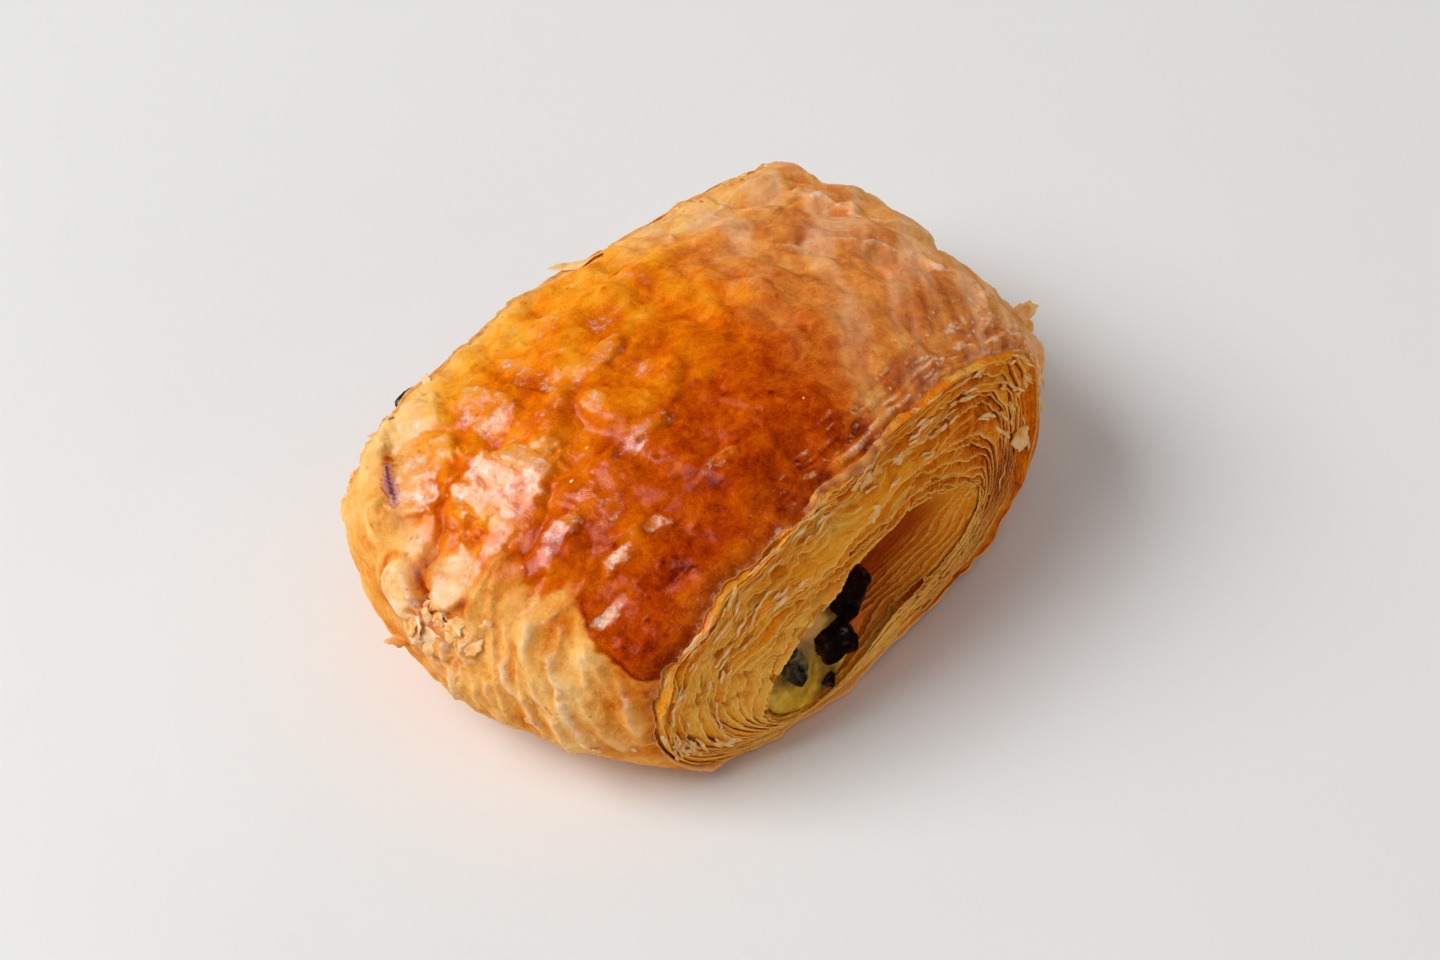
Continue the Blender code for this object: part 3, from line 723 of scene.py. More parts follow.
# %% Folds and creases of the skin
# Routes over the unrolled skin as (angle, place), each with its height (below 0 is a crease) and half width.
SKIN_FOLDS = (
    (((65.5, 0.44), (62.6, 0.23), (58, 0.105), (53, 0.0), (47.5, -0.11), (42, -0.24),
     (35.8, -0.38)), 1.9, 1.1),
    (((61, 0.22), (56, 0.09), (51, 0.0), (45, -0.12), (40, -0.24)), -1.4, 1.1),
    (((38, 0.62), (35.8, 0.44), (32.3, 0.31), (32, 0.21), (28.8, 0.105), (22, 0.04),
     (10, -0.02)), 1.7, 1.1),
    (((51.5, -0.50), (49.2, -0.61), (48, -0.72)), 0.5, 0.8),
    (((8, -0.50), (20, -0.57), (30, -0.67), (38.7, -0.81), (46, -0.88)), 1.4, 1.0),
    (((8, -0.58), (20, -0.65), (30, -0.75), (38, -0.88)), -0.7, 0.9),
    (((76, 0.62), (66, 0.72), (56, 0.70), (46, 0.80), (34, 0.78), (24, 0.66)), 1.5, 1.1),
    (((60, 0.77), (55.2, 0.70), (54.5, 0.58), (52.5, 0.48), (41, 0.56), (35.2, 0.57), (36.2, 0.46),
     (31.5, 0.28)), 1.1, 0.7),
    (((42.5, 0.73), (35.8, 0.69), (30.8, 0.62), (30.5, 0.52), (26, 0.45), (12, 0.44)), 1.0, 0.8),
    (((45, -0.22), (50.3, -0.40), (37.8, -0.385), (32.5, -0.48), (28, -0.57), (31.3, -0.70)), 0.9, 0.6),
    (((17.2, -0.52), (27.2, -0.72), (27.5, -0.85), (36.2, -0.99)), 0.9, 0.6),
    (((10, -0.42), (22, -0.60), (24, -0.78)), 0.7, 0.5),
    (((77.8, -0.65), (74, -0.65), (70.8, -0.665), (69, -0.73)), 0.5, 0.6),
    (((57, 0.40), (48, 0.30), (42, 0.16)), -1.0, 1.4), (((48, 0.62), (42, 0.66), (36, 0.60)), -0.7, 1.0),
    (((148, 0.46), (142.5, 0.38), (135.5, 0.345), (130.3, 0.34), (122, 0.345)), -1.4, 1.0),
    (((131, 0.42), (126.5, 0.51), (124, 0.60), (121, 0.70)), -1.1, 1.2),
    (((112, 0.72), (109, 0.45), (112, 0.20), (110, 0.08)), -0.6, 2.0),
    (((152, 0.23), (145, 0.265), (141.2, 0.16), (138, 0.045)), -1.0, 0.8),
    (((168, 0.20), (160, 0.165), (155, 0.24), (148, 0.30)), -0.9, 1.0),
    (((159, -0.02), (155, -0.07), (151, -0.06)), -0.8, 0.9),
    (((150, -0.46), (140, -0.47), (129, -0.50), (122, -0.545), (117, -0.49), (110, -0.61), (104, -0.61),
     (93, -0.71)), 0.8, 0.9),
    (((119, -0.53), (113, -0.575), (106, -0.57), (101, -0.52)), -0.6, 0.9),
    (((151, -0.30), (140, -0.33), (130, -0.30), (124, -0.22)), -0.6, 1.0),
    (((118, -0.06), (112, -0.16), (112, -0.26), (100, -0.24), (90, -0.28)), -0.5, 1.0),
    (((100, 0.10), (94, 0.17), (88, 0.14), (83, 0.02)), 0.6, 1.0),
    (((96, -0.08), (91, 0.0), (86, -0.10), (83, -0.02)), 0.5, 0.7),
    (((93, 0.90), (92, 0.60), (94, 0.42)), -0.5, 0.9),
    (((84, 0.85), (88, 0.60), (86, 0.40), (89, 0.25)), 0.6, 0.9),
    (((106, 0.66), (104, 0.46), (106, 0.30)), 0.6, 1.0),
    (((95, -0.24), (93, -0.42), (94, -0.60)), -0.4, 0.6),
    (((186, -0.10), (172, -0.13), (163, -0.16), (157, -0.12), (150, -0.085), (144, -0.085),
     (138, -0.12)), 1.3, 0.8),
    (((188, -0.24), (175, -0.22), (163, -0.20), (158, -0.165)), 0.8, 0.8),
    (((190, -0.52), (178, -0.47), (168, -0.36), (156, -0.30)), 1.7, 1.5),
    (((192, -0.66), (180, -0.60), (168, -0.50), (152, -0.40)), 1.4, 1.3),
    (((190, -0.74), (178, -0.66), (166, -0.62), (151, -0.515)), 1.6, 1.1),
    (((188, -0.88), (176, -0.80), (165, -0.72), (154, -0.655)), 1.6, 1.1),
    (((186, -0.98), (174, -0.90), (160, -0.84)), 1.3, 1.1),
    (((196, -0.36), (184, -0.34), (176, -0.28)), 1.2, 1.1),
    (((194, -0.82), (184, -0.73), (172, -0.67)), 1.0, 0.7),
    (((184, -0.55), (172, -0.45), (160, -0.37)), -0.9, 0.9),
    (((186, -0.71), (174, -0.63), (160, -0.56)), -0.9, 0.8),
    (((182, -0.84), (172, -0.77), (160, -0.70)), -0.9, 0.8),
)
FOLD_WANDER = 1.1


def route_distance(u, v, route):
    """Shortest distance from each point of the unrolled skin to a route of straight stretches."""
    nearest = np.full(np.shape(u), 1e9)
    laid = [unrolled(np.array(float(turn)), np.array(float(where)))[:2] for turn, where in route]
    for (u0, v0), (u1, v1) in zip(laid, laid[1:]):
        run = np.array([u1 - u0, v1 - v0])
        share = np.clip(((u - u0) * run[0] + (v - v0) * run[1]) / (run @ run), 0, 1)
        nearest = np.minimum(nearest, np.hypot(u - u0 - share * run[0], v - v0 - share * run[1]))
    return nearest


def fold_lines(points, degrees, place):
    """Height of the folds and creases: each falls off on both sides, sharper at the top than a bell."""
    laid = unrolled(degrees, place)
    u = laid[..., 0] + FOLD_WANDER * lattice_noise(points, 5.0, 31) + 0.4 * lattice_noise(points, 1.8, 33)
    v = laid[..., 1] + FOLD_WANDER * lattice_noise(points, 5.0, 32) + 0.4 * lattice_noise(points, 1.8, 34)
    total = 0.0
    for route, height, half in SKIN_FOLDS:
        away = route_distance(u, v, route) / half
        profile = np.exp(-np.sqrt(away * away + 0.02) * (1.25 + 0.35 * smooth_step(degrees, 90, 70)))
        total = total + height * profile * (0.8 + 0.5 * lattice_noise(points, 6.0, 35))
    return total * (1 - 0.42 * smooth_step(degrees, 90, 70))


# %% Torn sheets at the rims, and the rest of the relief
# How many sheets are torn back at the rims, the step from one to the next, and how far the skin turns down
# at the front rim, in millimetres.
PEEL_STEPS, PEEL_DROP, RIM_DROP = 3.2, 0.30, 1.2
# Pimples of dried egg: how many, their half width and height.
PIMPLES, PIMPLE_HALF, PIMPLE_HEIGHT = 60, 0.50, 0.42


def rim_terraces(points, degrees, place):
    """Sheets torn back in steps near the rims: how many are gone, and 1 along their pale torn edges."""
    start = np.where(place < 0, 0.86 - 0.20 * bell(degrees - 46, 30), 0.90)
    level = (np.abs(place) - start) / (1 - start) * PEEL_STEPS
    laid = unrolled(degrees, place) * (0.32, 1, 1)
    level = level + 1.0 * lattice_noise(laid, 5.0, 71) + 0.45 * lattice_noise(laid, 2.0, 72)
    level = np.clip(level + 0.12 * lattice_noise(points, 1.0, 73), 0, PEEL_STEPS + 0.5)
    step = level % 1
    gone = np.floor(level) + smooth_step(step, 0.0, 0.14)
    torn = bell(step - 0.04, 0.08) * (level > 0.03)
    amount = 0.25 + 0.75 * smooth_step(degrees, 98, 76) * np.where(place < 0, 1.0, 0.35)
    return gone * amount, torn * amount


# In millimetres: the height of each broken sheet at the left end, and of the web of edges between them.
CRAG_STEP, LACE_HEIGHT = 0.60, 0.6


def crag_terraces(points, degrees, place):
    """Broken sheets at the left end: their height, 1 along each torn edge, and painted shade in each gap
    between them.
    """
    share = smooth_step(bell(degrees - 169, 13) * bell(place - 0.02, 0.24), 0.25, 0.65)
    laid = points * (1, 0.45, 1.0)
    level = 2.0 + 2.1 * lattice_noise(laid, 5.6, 74) + 0.45 * lattice_noise(laid, 2.2, 75)
    level = np.clip(level + 0.22 * lattice_noise(points, 0.9, 76), 0, 4.5)
    step = level % 1
    bent = warped(points, 1.2, 3.0, 81)
    coarse = creases(bent * (1, 0.45, 0.9), 5.0, 79, 4.0)
    lace = np.maximum(coarse, 0.6 * creases(bent * (1, 0.5, 1), 2.6, 80, 4.0))
    height = (np.floor(level) + smooth_step(step, 0.0, 0.22) - 2.0) * CRAG_STEP + LACE_HEIGHT * (lace - 0.3)
    edges = np.maximum(bell(step - 0.2, 0.17), smooth_step(lace, 0.35, 0.8))
    return height * share, edges * share, 0.6 * smooth_step(lace, 0.25, 0.0) * share


# A round blister at the left end: angle, place, the two half sizes. Then its height in millimetres.
DOME = (165.0, 0.31, 8.0, 0.165)
DOME_RISE = 1.8


def rim_fibres(points, degrees, place):
    """Fine threads that run round the roll near the front rim, about -1 to 1, and the zone that has them."""
    laid = unrolled(degrees, place) * (0.10, 1, 1)
    threads = lattice_noise(laid, 1.0, 85) + 0.6 * lattice_noise(laid * (2, 1, 1), 0.55, 86)
    ragged = 0.06 * lattice_noise(points, 6.0, 87)
    zone = smooth_step(place + ragged, -0.76, -0.90) * smooth_step(degrees, 114, 88)
    return threads, zone * smooth_step(degrees, -20, 10)


def pimples(points, wash):
    """Small round bumps at seeded points of the brushed band."""
    rng = np.random.default_rng(77)
    brushed = points[wash > 0.8]
    total = np.zeros(points.shape[:2])
    for centre in brushed[rng.integers(0, len(brushed), PIMPLES)]:
        away = np.linalg.norm(points - centre, axis=-1)
        total = np.maximum(total, bell(away, PIMPLE_HALF * rng.uniform(0.7, 1.3)))
    return total


def skin_relief(points, degrees, place, folds, gone, pimple):
    """Height over the smooth form in millimetres.

    Blisters are the size of a noise, which gives round tops and sharp valleys. They are strong on the left
    shoulder and to the back, and low in the dark front half. Streaks run along the roll over the top.
    """
    upper = smooth_step(points[..., 2], 3, 14)
    lively = 0.45 + 0.55 * smooth_step(place, -0.45, 0.1) + 0.2 * bell(degrees - 130, 14)
    lively = lively * (1 - 0.45 * smooth_step(degrees, 146, 160) * smooth_step(place, 0.1, -0.1))
    lively = lively * (1 - 0.38 * smooth_step(degrees, 90, 65))
    bent = warped(points, 2.6, 8.0, 44)
    blister = np.abs(lattice_noise(bent, 12.0, 51)) ** 0.8 * 1.9 - 0.6
    blister = 0.8 * blister + 0.42 * crumple(bent, 14.0, 50) + 0.05 * crumple(bent, 3.6, 58)
    wrinkles = crease_pairs(bent, 5.0, 2.4, 47)
    laid = slanted(degrees, place, STREAK_SLANT)
    streaks = 0.26 * lattice_noise(laid * (1, 0.30, 1), 2.6, 53)
    streaks = streaks + 0.12 * lattice_noise(laid * (1, 0.4, 1), 1.1, 59)
    streaks = streaks * smooth_step(degrees, 114, 98) * (0.4 + 0.6 * smooth_step(degrees, 30, 60))
    skewed = np.stack([degrees * 0.17, points[..., 1] + 0.24 * degrees, 0 * degrees], -1)
    end_folds = smooth_step(degrees, 138, 154) * smooth_step(place, 0.10, -0.10)
    height = upper * (blister * lively + 0.07 * lattice_noise(points, 2.4, 54) * lively)
    height = height + upper * (streaks + 0.05 * lattice_noise(points, 1.1, 55) - 0.14 * wrinkles * lively)
    pleated = 0.8 * creases(skewed, 5.0, 41, 2.0) + 0.3 * creases(skewed, 2.2, 42, 2.0)
    pleated = pleated + 0.35 * crumple(skewed, 7.0, 43)
    height = height + end_folds * upper * pleated
    rounding = np.where(place < 0, RIM_DROP, 0.4 * RIM_DROP) * smooth_step(np.abs(place), 0.90, 1.0) ** 2
    height = height * (1 - 0.4 * smooth_step(np.abs(place), 0.92, 1.0)) + folds * upper
    return height - PEEL_DROP * gone + PIMPLE_HEIGHT * pimple - rounding * upper


# %% Grid of the skin
ROUND_STEPS = 560
LENGTH_STEPS = 160
INNER_STEPS = 10
# In millimetres: how thick the sheet is at its rims, and how much deeper its inner wall lies in the middle.
SKIN_THICKNESS, INNER_DEPTH = 0.7, 3.0
# How many times closer together the columns are over the side that shows.
UPPER_DENSITY = 2.6


def skin_angles(count):
    """Angles round the roll, closer together over the side that shows than under the foot."""
    fine = np.linspace(-math.pi / 2, 3 * math.pi / 2, 4000)
    density = 1 + (UPPER_DENSITY - 1) * smooth_step(np.sin(fine), -0.55, -0.15)
    travel = np.concatenate([[0], np.cumsum((density[1:] + density[:-1]) / 2)])
    return np.interp(np.linspace(0, travel[-1], count, endpoint=False), travel, fine)


def rim_shift(angle, place):
    """Waviness of the two rims: a pull along the roll that grows towards each rim."""
    lap = np.stack([60 * np.cos(angle), 60 * np.sin(angle), 40 * np.sign(place)], -1)
    wave = layered_noise(lap, (1.1, 13.0, 61), (0.5, 4.0, 62), (0.2, 1.6, 63))
    return np.sign(place) * np.abs(place) ** 7 * (wave - 0.5)


angles = skin_angles(ROUND_STEPS)
places = np.linspace(-1, 1, LENGTH_STEPS)
angle_grid, place_grid = np.meshgrid(angles, places)
degree_grid = np.degrees(angle_grid)
base = skin_point(angle_grid, place_grid)
base[..., 1] += rim_shift(angle_grid, place_grid)
base_normal = grid_normals(base)
away_from_heart = base * (1, 0, 1) - (0, 0, HEART)
if (base_normal * away_from_heart).sum() < 0:
    base_normal = -base_normal
here = (base, degree_grid, place_grid)
print("skin grid:", base.shape[:2], "points")

# %% Marks that shape the skin as well as its colour
# A lump at the front right of the rim: angle, place, the two spreads and the height.
RIM_LUMPS = ((2, -0.88, 5, 0.09, 1.6),)
FIBRE_HEIGHT = 0.24

wash = wash_mask(*here)
# Veils of thin dry skin over the bare dough, in part a painted sheen.
veil = veil_mask(degree_grid, place_grid, wash)
gone, torn = rim_terraces(*here)
pimple = pimples(base, wash)
folds = fold_lines(*here)
# Pale patches: dried films, and in part a painted highlight where the window mirrors in the glaze.
film = film_mask(*here) * smooth_step(folds, -0.55, -0.20)
# The low gaps between the broken sheets get painted shade.
crags, crag_edges, crag_gap_shade = crag_terraces(*here)
dome = spot_reach(degree_grid, place_grid, DOME, 0.12 * lattice_noise(base, 4.0, 78))
threads, fibrous = rim_fibres(*here)
relief = skin_relief(*here, folds, gone, pimple) + crags + FIBRE_HEIGHT * threads * fibrous
relief = flattened(base, base_normal, degree_grid, place_grid, relief)
relief = add_spots(relief, degree_grid, place_grid, RIM_LUMPS)
relief = relief + DOME_RISE * smooth_step(dome, 1.05, 0.70)
outer = base + base_normal * relief[..., None]
outer[..., 2] = np.maximum(outer[..., 2], 0.0)
print("relief in mm: %.2f to %.2f" % (relief.min(), relief.max()))

# %% Marks for the colour: the scorched spot and how dark each point is
# How much each mark adds to the tone; hills are paler than hollows, most of all at the left end. The darker
# valleys of the folds are painted shade.
HILL_TONE, LEFT_HILL_TONE = 0.09, 0.10
# The gap tone darkens the low gaps between broken sheets: painted shade.
PIMPLE_TONE, VALLEY_SHADE_TONE, GAP_SHADE_TONE = 0.25, 0.16, 0.30
# The dark ring round the dome's foot is painted shadow.
DOME_SHADOW_TONE, FIBRE_TONE, SCORCH_RING_TONE = 0.30, 0.20, 0.5


def scorch_mark(points, degrees, place):
    """Distance from the middle of the scorched mark in its half sizes, and 0 to 1: how burnt each point is.

    The mark is darkest along its slits, which are waves of the way across it.
    """
    turn, where, round_half, long_half, lean = SCORCH
    up = (place - where) / long_half
    across = (degrees - turn) / round_half + lean * up
    away = np.hypot(across, up) + 0.45 * lattice_noise(points, 2.2, 64) + 0.2 * lattice_noise(points, 0.9, 65)
    slit = smooth_step(np.cos(4.4 * across + 1.5 * lattice_noise(points, 1.6, 66)), 0.40, 0.95)
    return away, smooth_step(away, 1.15, 0.75) * (0.55 + 0.45 * slit)


def skin_tone(scorched):
    """How dark the skin is at each point, with all its marks."""
    hill_tone = HILL_TONE + LEFT_HILL_TONE * smooth_step(degree_grid, 146, 158)
    dark = baked(*here, wash) - hill_tone * np.clip(relief, -1.5, 2.5)
    # The valleys of the folds are darkened: painted shade.
    dark = dark + PIMPLE_TONE * pimple + VALLEY_SHADE_TONE * np.clip(-folds, 0, 1) + GAP_SHADE_TONE * crag_gap_shade
    # Painted shadow in a ring round the dome.
    dark = dark + DOME_SHADOW_TONE * bell(dome - 1.14, 0.13) - FIBRE_TONE * threads * fibrous
    return dark + SCORCH_RING_TONE * bell(scorched - 1.15, 0.18)


scorched, scorch = scorch_mark(*here)
tone = skin_tone(scorched)
print("tone: %.2f to %.2f" % (tone.min(), tone.max()))

# %% Close the sleeve: turned rims and an inner wall
rim_turn = np.linspace(0, math.pi, 5)[1:-1]


def turned_rim(edge, edge_normal, way):
    """Rows that roll over the rim: half a circle of the sheet's thickness, out along the roll."""
    rows = []
    for turn in rim_turn:
        inward = -edge_normal * SKIN_THICKNESS / 2 * (1 - math.cos(turn))
        outward = np.array([0, way * SKIN_THICKNESS / 2 * math.sin(turn), 0])
        rows.append(edge + inward + outward)
    return rows


inner_pick = np.linspace(LENGTH_STEPS - 1, 0, INNER_STEPS).round().astype(int)
inner_depth = SKIN_THICKNESS + INNER_DEPTH * np.sin(math.pi * (1 + places[inner_pick]) / 2) ** 0.5
inner = outer[inner_pick] - base_normal[inner_pick] * inner_depth[:, None, None]
back_rim = turned_rim(outer[-1], base_normal[-1], 1)
front_rim = turned_rim(outer[0], base_normal[0], -1)[::-1]
sleeve = np.concatenate([outer, back_rim, inner, front_rim])
sleeve[..., 2] = np.maximum(sleeve[..., 2], 0.0)


def sleeve_mark(values, at_rims, inside):
    """A mark for every row of the sleeve: its own on the outer grid, fixed on the rims and inside."""
    rows = np.full(sleeve.shape[:2], float(inside))
    rows[:LENGTH_STEPS] = values
    rows[LENGTH_STEPS:LENGTH_STEPS + len(back_rim)] = at_rims
    rows[-len(front_rim):] = at_rims
    return rows


# %% Marks that the sleeve carries: pale sheets, painted highlights on fold crests, gloss, and those made above
rim_pale = smooth_step(np.abs(place_grid), 0.965, 1.0)
# Pale lines on the crests of the folds: painted highlight, weaker under the wash.
crest_highlight = smooth_step(folds * (1 + 0.9 * smooth_step(degree_grid, 90, 70)), 0.30, 1.1)
pale = np.maximum(np.maximum(film, 0.75 * torn), (0.60 - 0.45 * wash) * crest_highlight)
pale = np.maximum(pale, 0.55 * smooth_step(dome, 1.0, 0.7)) * (1 - scorch)
pale = np.maximum(np.maximum(pale, 0.6 * crag_edges), 0.65 * smooth_step(threads, 0.2, 0.6) * fibrous)
shoulder = smooth_step(degree_grid, 94, 112) * smooth_step(degree_grid, 166, 150)
shoulder = shoulder * smooth_step(place_grid, -0.55, -0.25)
gloss = 0.05 * wash + 0.07 * shoulder * (0.3 + 0.7 * wash) + 0.42 * film * smooth_step(degree_grid, 84, 100)
gloss = gloss * (1 - 0.9 * scorch)
skin_marks = {
    "wash": sleeve_mark(wash * (1 - 0.7 * rim_pale) * (1 - 0.5 * np.clip(gone, 0, 1)), 0.0, 0.0),
    "tone": sleeve_mark(np.clip(tone, 0, 1), 0.3, 0.3),
    "scorch": sleeve_mark(scorch, 0.0, 0.0),
    "film": sleeve_mark(np.maximum(pale * (1 - 0.45 * shoulder), 0.22 * rim_pale), 0.22, 0.0),
    "veil": sleeve_mark(veil, 0.2, 0.0),
    "gloss": sleeve_mark(np.clip(gloss, 0, 1), 0.0, 0.0),
}
print("marks of the skin:", ", ".join(skin_marks))

# %% [markdown]
# ## Colour and gloss of the skin
# Two ramps turn the baking mark into colour: a saturated one for dough under egg wash, which goes from
# gold through orange to red-brown, and a duller tan one for bare dough. Noise at the size of a crumb
# breaks both up. The clear coat stands for dried egg: thin over the brushed band, and thicker on the pale
# films, which mirror the window. The pale pink of those films is in part a painted highlight of the window,
# and the veils on the right shoulder are in part a painted sheen.

# %% Skin material
WASHED_STOPS = (
    (0.00, 0.93, 0.48, 0.080), (0.25, 0.88, 0.30, 0.012), (0.45, 0.78, 0.178, 0.0015),
    (0.62, 0.62, 0.098, 0.0006), (0.78, 0.44, 0.046, 0.0004), (0.90, 0.31, 0.024, 0.0004),
    (1.00, 0.16, 0.010, 0.0006),
)
BARE_STOPS = (
    (0.00, 0.95, 0.64, 0.26), (0.30, 0.88, 0.44, 0.115), (0.50, 0.77, 0.300, 0.048),
    (0.65, 0.68, 0.185, 0.014), (0.82, 0.50, 0.090, 0.004), (1.00, 0.28, 0.032, 0.002),
)
# Colours of the pale patches: dried films, and in part a painted highlight of the window.
FILM_AND_HIGHLIGHT_COLOURS = ((0.38, 0.78, 0.36, 0.13), (0.50, 0.84, 0.50, 0.28), (0.58, 0.88, 0.62, 0.46))
# Colour of the veils: thin dry skin, in part a painted sheen.
VEIL_AND_SHEEN_COLOUR = (0.84, 0.47, 0.24)
FLECK_COLOUR = (0.42, 0.065, 0.004)
SCORCH_STOPS = (
    (0.0, 0.62, 0.27, 0.22), (0.50, 0.50, 0.20, 0.19), (0.75, 0.30, 0.085, 0.09), (1.0, 0.10, 0.022, 0.03),
)
BUTTER_GLOW = (1.0, 0.35, 0.12)
# Thin sheets glow more evenly, or they lose their red and turn olive.
LEAF_GLOW = (1.0, 0.65, 0.40)


def scaled_sum(tree, terms):
    """The sum of (socket, amount) pairs."""
    total = math_node(tree, "MULTIPLY", *terms[0])
    for socket, amount in terms[1:]:
        total = math_node(tree, "ADD", total, math_node(tree, "MULTIPLY", socket, amount))
    return total


def thin_lines(tree, scale, width):
    """1 along wandering hair lines where a noise passes through its middle, broken by a second noise."""
    noise = speckle(tree, scale, 3.0, distortion=1.0)
    off = math_node(tree, "ABSOLUTE", math_node(tree, "SUBTRACT", noise, 0.5), 0.0)
    line = ramp(tree, off, ((0.0, 1, 1, 1), (width, 0, 0, 0)))
    broken = ramp(tree, speckle(tree, 1.7 * scale, 2.0), ((0.48, 0, 0, 0), (0.60, 1, 1, 1)))
    return math_node(tree, "MULTIPLY", line, broken)


def glow(tree, shader, weight, colour, distance_mm):
    """Light that enters the surface and comes out near by."""
    values = {"Weight": weight, "Radius": colour, "Scale": distance_mm * MM}
    fill(tree, shader, {"Subsurface " + name: value for name, value in values.items()})


def coat(tree, shader, weight, roughness):
    """A clear layer over the surface."""
    fill(tree, shader, {"Coat Weight": weight, "Coat Roughness": roughness, "Coat IOR": 1.5})


def skin_material():
    """The brushed and baked outer sheet."""
    material, tree, shader = new_material("baked_skin", 0.50, 0.0)
    smudge = speckle(tree, 300.0, 5.0, distortion=1.2)
    mottle = speckle(tree, 800.0, 6.0, distortion=0.6)
    fine = speckle(tree, 2800.0, 4.0)
    lines = thin_lines(tree, 260.0, 0.010)
    dark = add_swings(tree, attribute(tree, "tone"), (smudge, 0.20), (mottle, 0.16), (fine, 0.15))
    dark = math_node(tree, "ADD", dark, math_node(tree, "MULTIPLY", lines, 0.10), clamp=True)
    bare, washed = ramp(tree, dark, BARE_STOPS), ramp(tree, dark, WASHED_STOPS)
    colour = mix_colours(tree, attribute(tree, "wash"), bare, washed)
    # The pale patches mix in a colour that is in part a painted highlight.
    film = attribute(tree, "film")
    grainy = scaled_sum(tree, ((film, 0.90), (mottle, 1.40), (fine, 0.80)))
    film_share = math_node(tree, "MULTIPLY", math_node(tree, "SUBTRACT", grainy, 1.26), 1.8, clamp=True)
    filmed = math_node(tree, "MULTIPLY", film, 5.0, clamp=True)
    film_share = math_node(tree, "MULTIPLY", film_share, math_node(tree, "MULTIPLY", filmed, 0.90))
    # The veils mix in a colour that is in part a painted sheen.
    veiled = scaled_sum(tree, ((speckle(tree, 420.0, 5.0, distortion=1.0), 0.9), (fine, 0.4)))
    veiled = math_node(tree, "ADD", veiled, 0.05)
    veiled = math_node(tree, "MULTIPLY", attribute(tree, "veil"), veiled, clamp=True)
    colour = mix_colours(tree, veiled, colour, VEIL_AND_SHEEN_COLOUR)
    tint = ramp(tree, scaled_sum(tree, ((smudge, 0.85), (fine, 0.15))), FILM_AND_HIGHLIGHT_COLOURS)
    colour = mix_colours(tree, film_share, colour, tint)
    fleck = ramp(tree, speckle(tree, 900.0, 2.0), ((0.66, 0, 0, 0), (0.74, 0.45, 0.45, 0.45)))
    colour = mix_colours(tree, fleck, colour, FLECK_COLOUR)
    scorch = attribute(tree, "scorch")
    scorch_share = math_node(tree, "MULTIPLY", scorch, 2.2, clamp=True)
    colour = mix_colours(tree, scorch_share, colour, ramp(tree, scorch, SCORCH_STOPS))
    fill(tree, shader, {"Base Color": colour})
    glow(tree, shader, 0.12, BUTTER_GLOW, 0.8)
    coat(tree, shader, attribute(tree, "gloss"), 0.17)
    relief_grain = scaled_sum(tree, ((smudge, 1.0), (mottle, 0.7), (fine, 0.20), (lines, -0.3)))
    bump(tree, shader, relief_grain, 0.34, 0.7)
    coat_grain = scaled_sum(tree, ((smudge, 1.0), (mottle, 0.55), (lines, -0.3)))
    bump(tree, shader, coat_grain, 0.22, 0.5, target="Coat Normal")
    return material


skin_finish = skin_material()
crust = grid_mesh("crust", sleeve, close_rows=True, marks=skin_marks, material=skin_finish)

# %% [markdown]
# ## The layers in the cut sides
# Rolling and folding made dozens of sheets with butter between them. The oven blew them apart, so each cut
# side is a stair of thin leaves: a smooth amber slope, a pale crisp edge, then a dark slot under it, whose
# deep amber is painted shade. One grid can make the whole side. Its columns go round the opening, and its
# rows climb out along each leaf, round its edge and back into the slot beneath, which gives real undercuts
# without any boolean.

# %% Plan of the leaves
# Each leaf's edge, as its share of the way from the rim to the mouth: foot, right, right shoulder, top, left.
FRONT_LEAVES = (
    (0.30, 0.34, 0.06, 0.05, 0.06), (0.38, 0.38, 0.12, 0.10, 0.12), (0.45, 0.43, 0.19, 0.16, 0.17),
    (0.52, 0.48, 0.24, 0.21, 0.25), (0.58, 0.53, 0.36, 0.27, 0.31), (0.64, 0.58, 0.43, 0.33, 0.38),
    (0.70, 0.64, 0.50, 0.39, 0.46), (0.76, 0.70, 0.70, 0.74, 0.52), (0.81, 0.75, 0.78, 0.80, 0.60),
    (0.86, 0.80, 0.84, 0.85, 0.67), (0.90, 0.86, 0.89, 0.90, 0.76), (0.94, 0.92, 0.93, 0.94, 0.85),
    (0.97, 0.97, 0.97, 0.98, 0.93), (1.00, 1.00, 1.00, 1.00, 1.00),
)
BACK_LEAVES = (
    (0.10, 0.08, 0.05, 0.06, 0.10), (0.20, 0.15, 0.10, 0.12, 0.30), (0.30, 0.22, 0.26, 0.19, 0.37),
    (0.41, 0.33, 0.34, 0.25, 0.44), (0.50, 0.40, 0.41, 0.52, 0.52), (0.59, 0.48, 0.58, 0.58, 0.60),
    (0.68, 0.60, 0.64, 0.65, 0.68), (0.78, 0.70, 0.71, 0.74, 0.76), (0.86, 0.82, 0.83, 0.84, 0.84),
    (0.93, 0.91, 0.92, 0.92, 0.92), (1.00, 1.00, 1.00, 1.00, 1.00),
)
LEAF_TURNS = (-90, -10, 32, 85, 180, 270)
LEAF_THICKNESS = 0.26
SLOPE_ROWS = (0.0, 0.2, 0.42, 0.64, 0.82, 0.93, 1.0)
# How far in from the rim the first leaf starts, in millimetres.
FRONT_INSET, BACK_INSET = 1.9, 2.9
# A flap at the right, where the first leaf lies sunk: angle, half width in degrees and depth.
FLAP_TURN, FLAP_SPREAD, FLAP_DEPTH = -9.0, 24.0, 3.4
# Width in millimetres at which a slope counts as wide and swells.
WIDE_LEAF = 5.0
# What the two outermost leaves add to their amber at the right shoulder.
SHOULDER_AMBER = {0: 0.26, 1: 0.10}
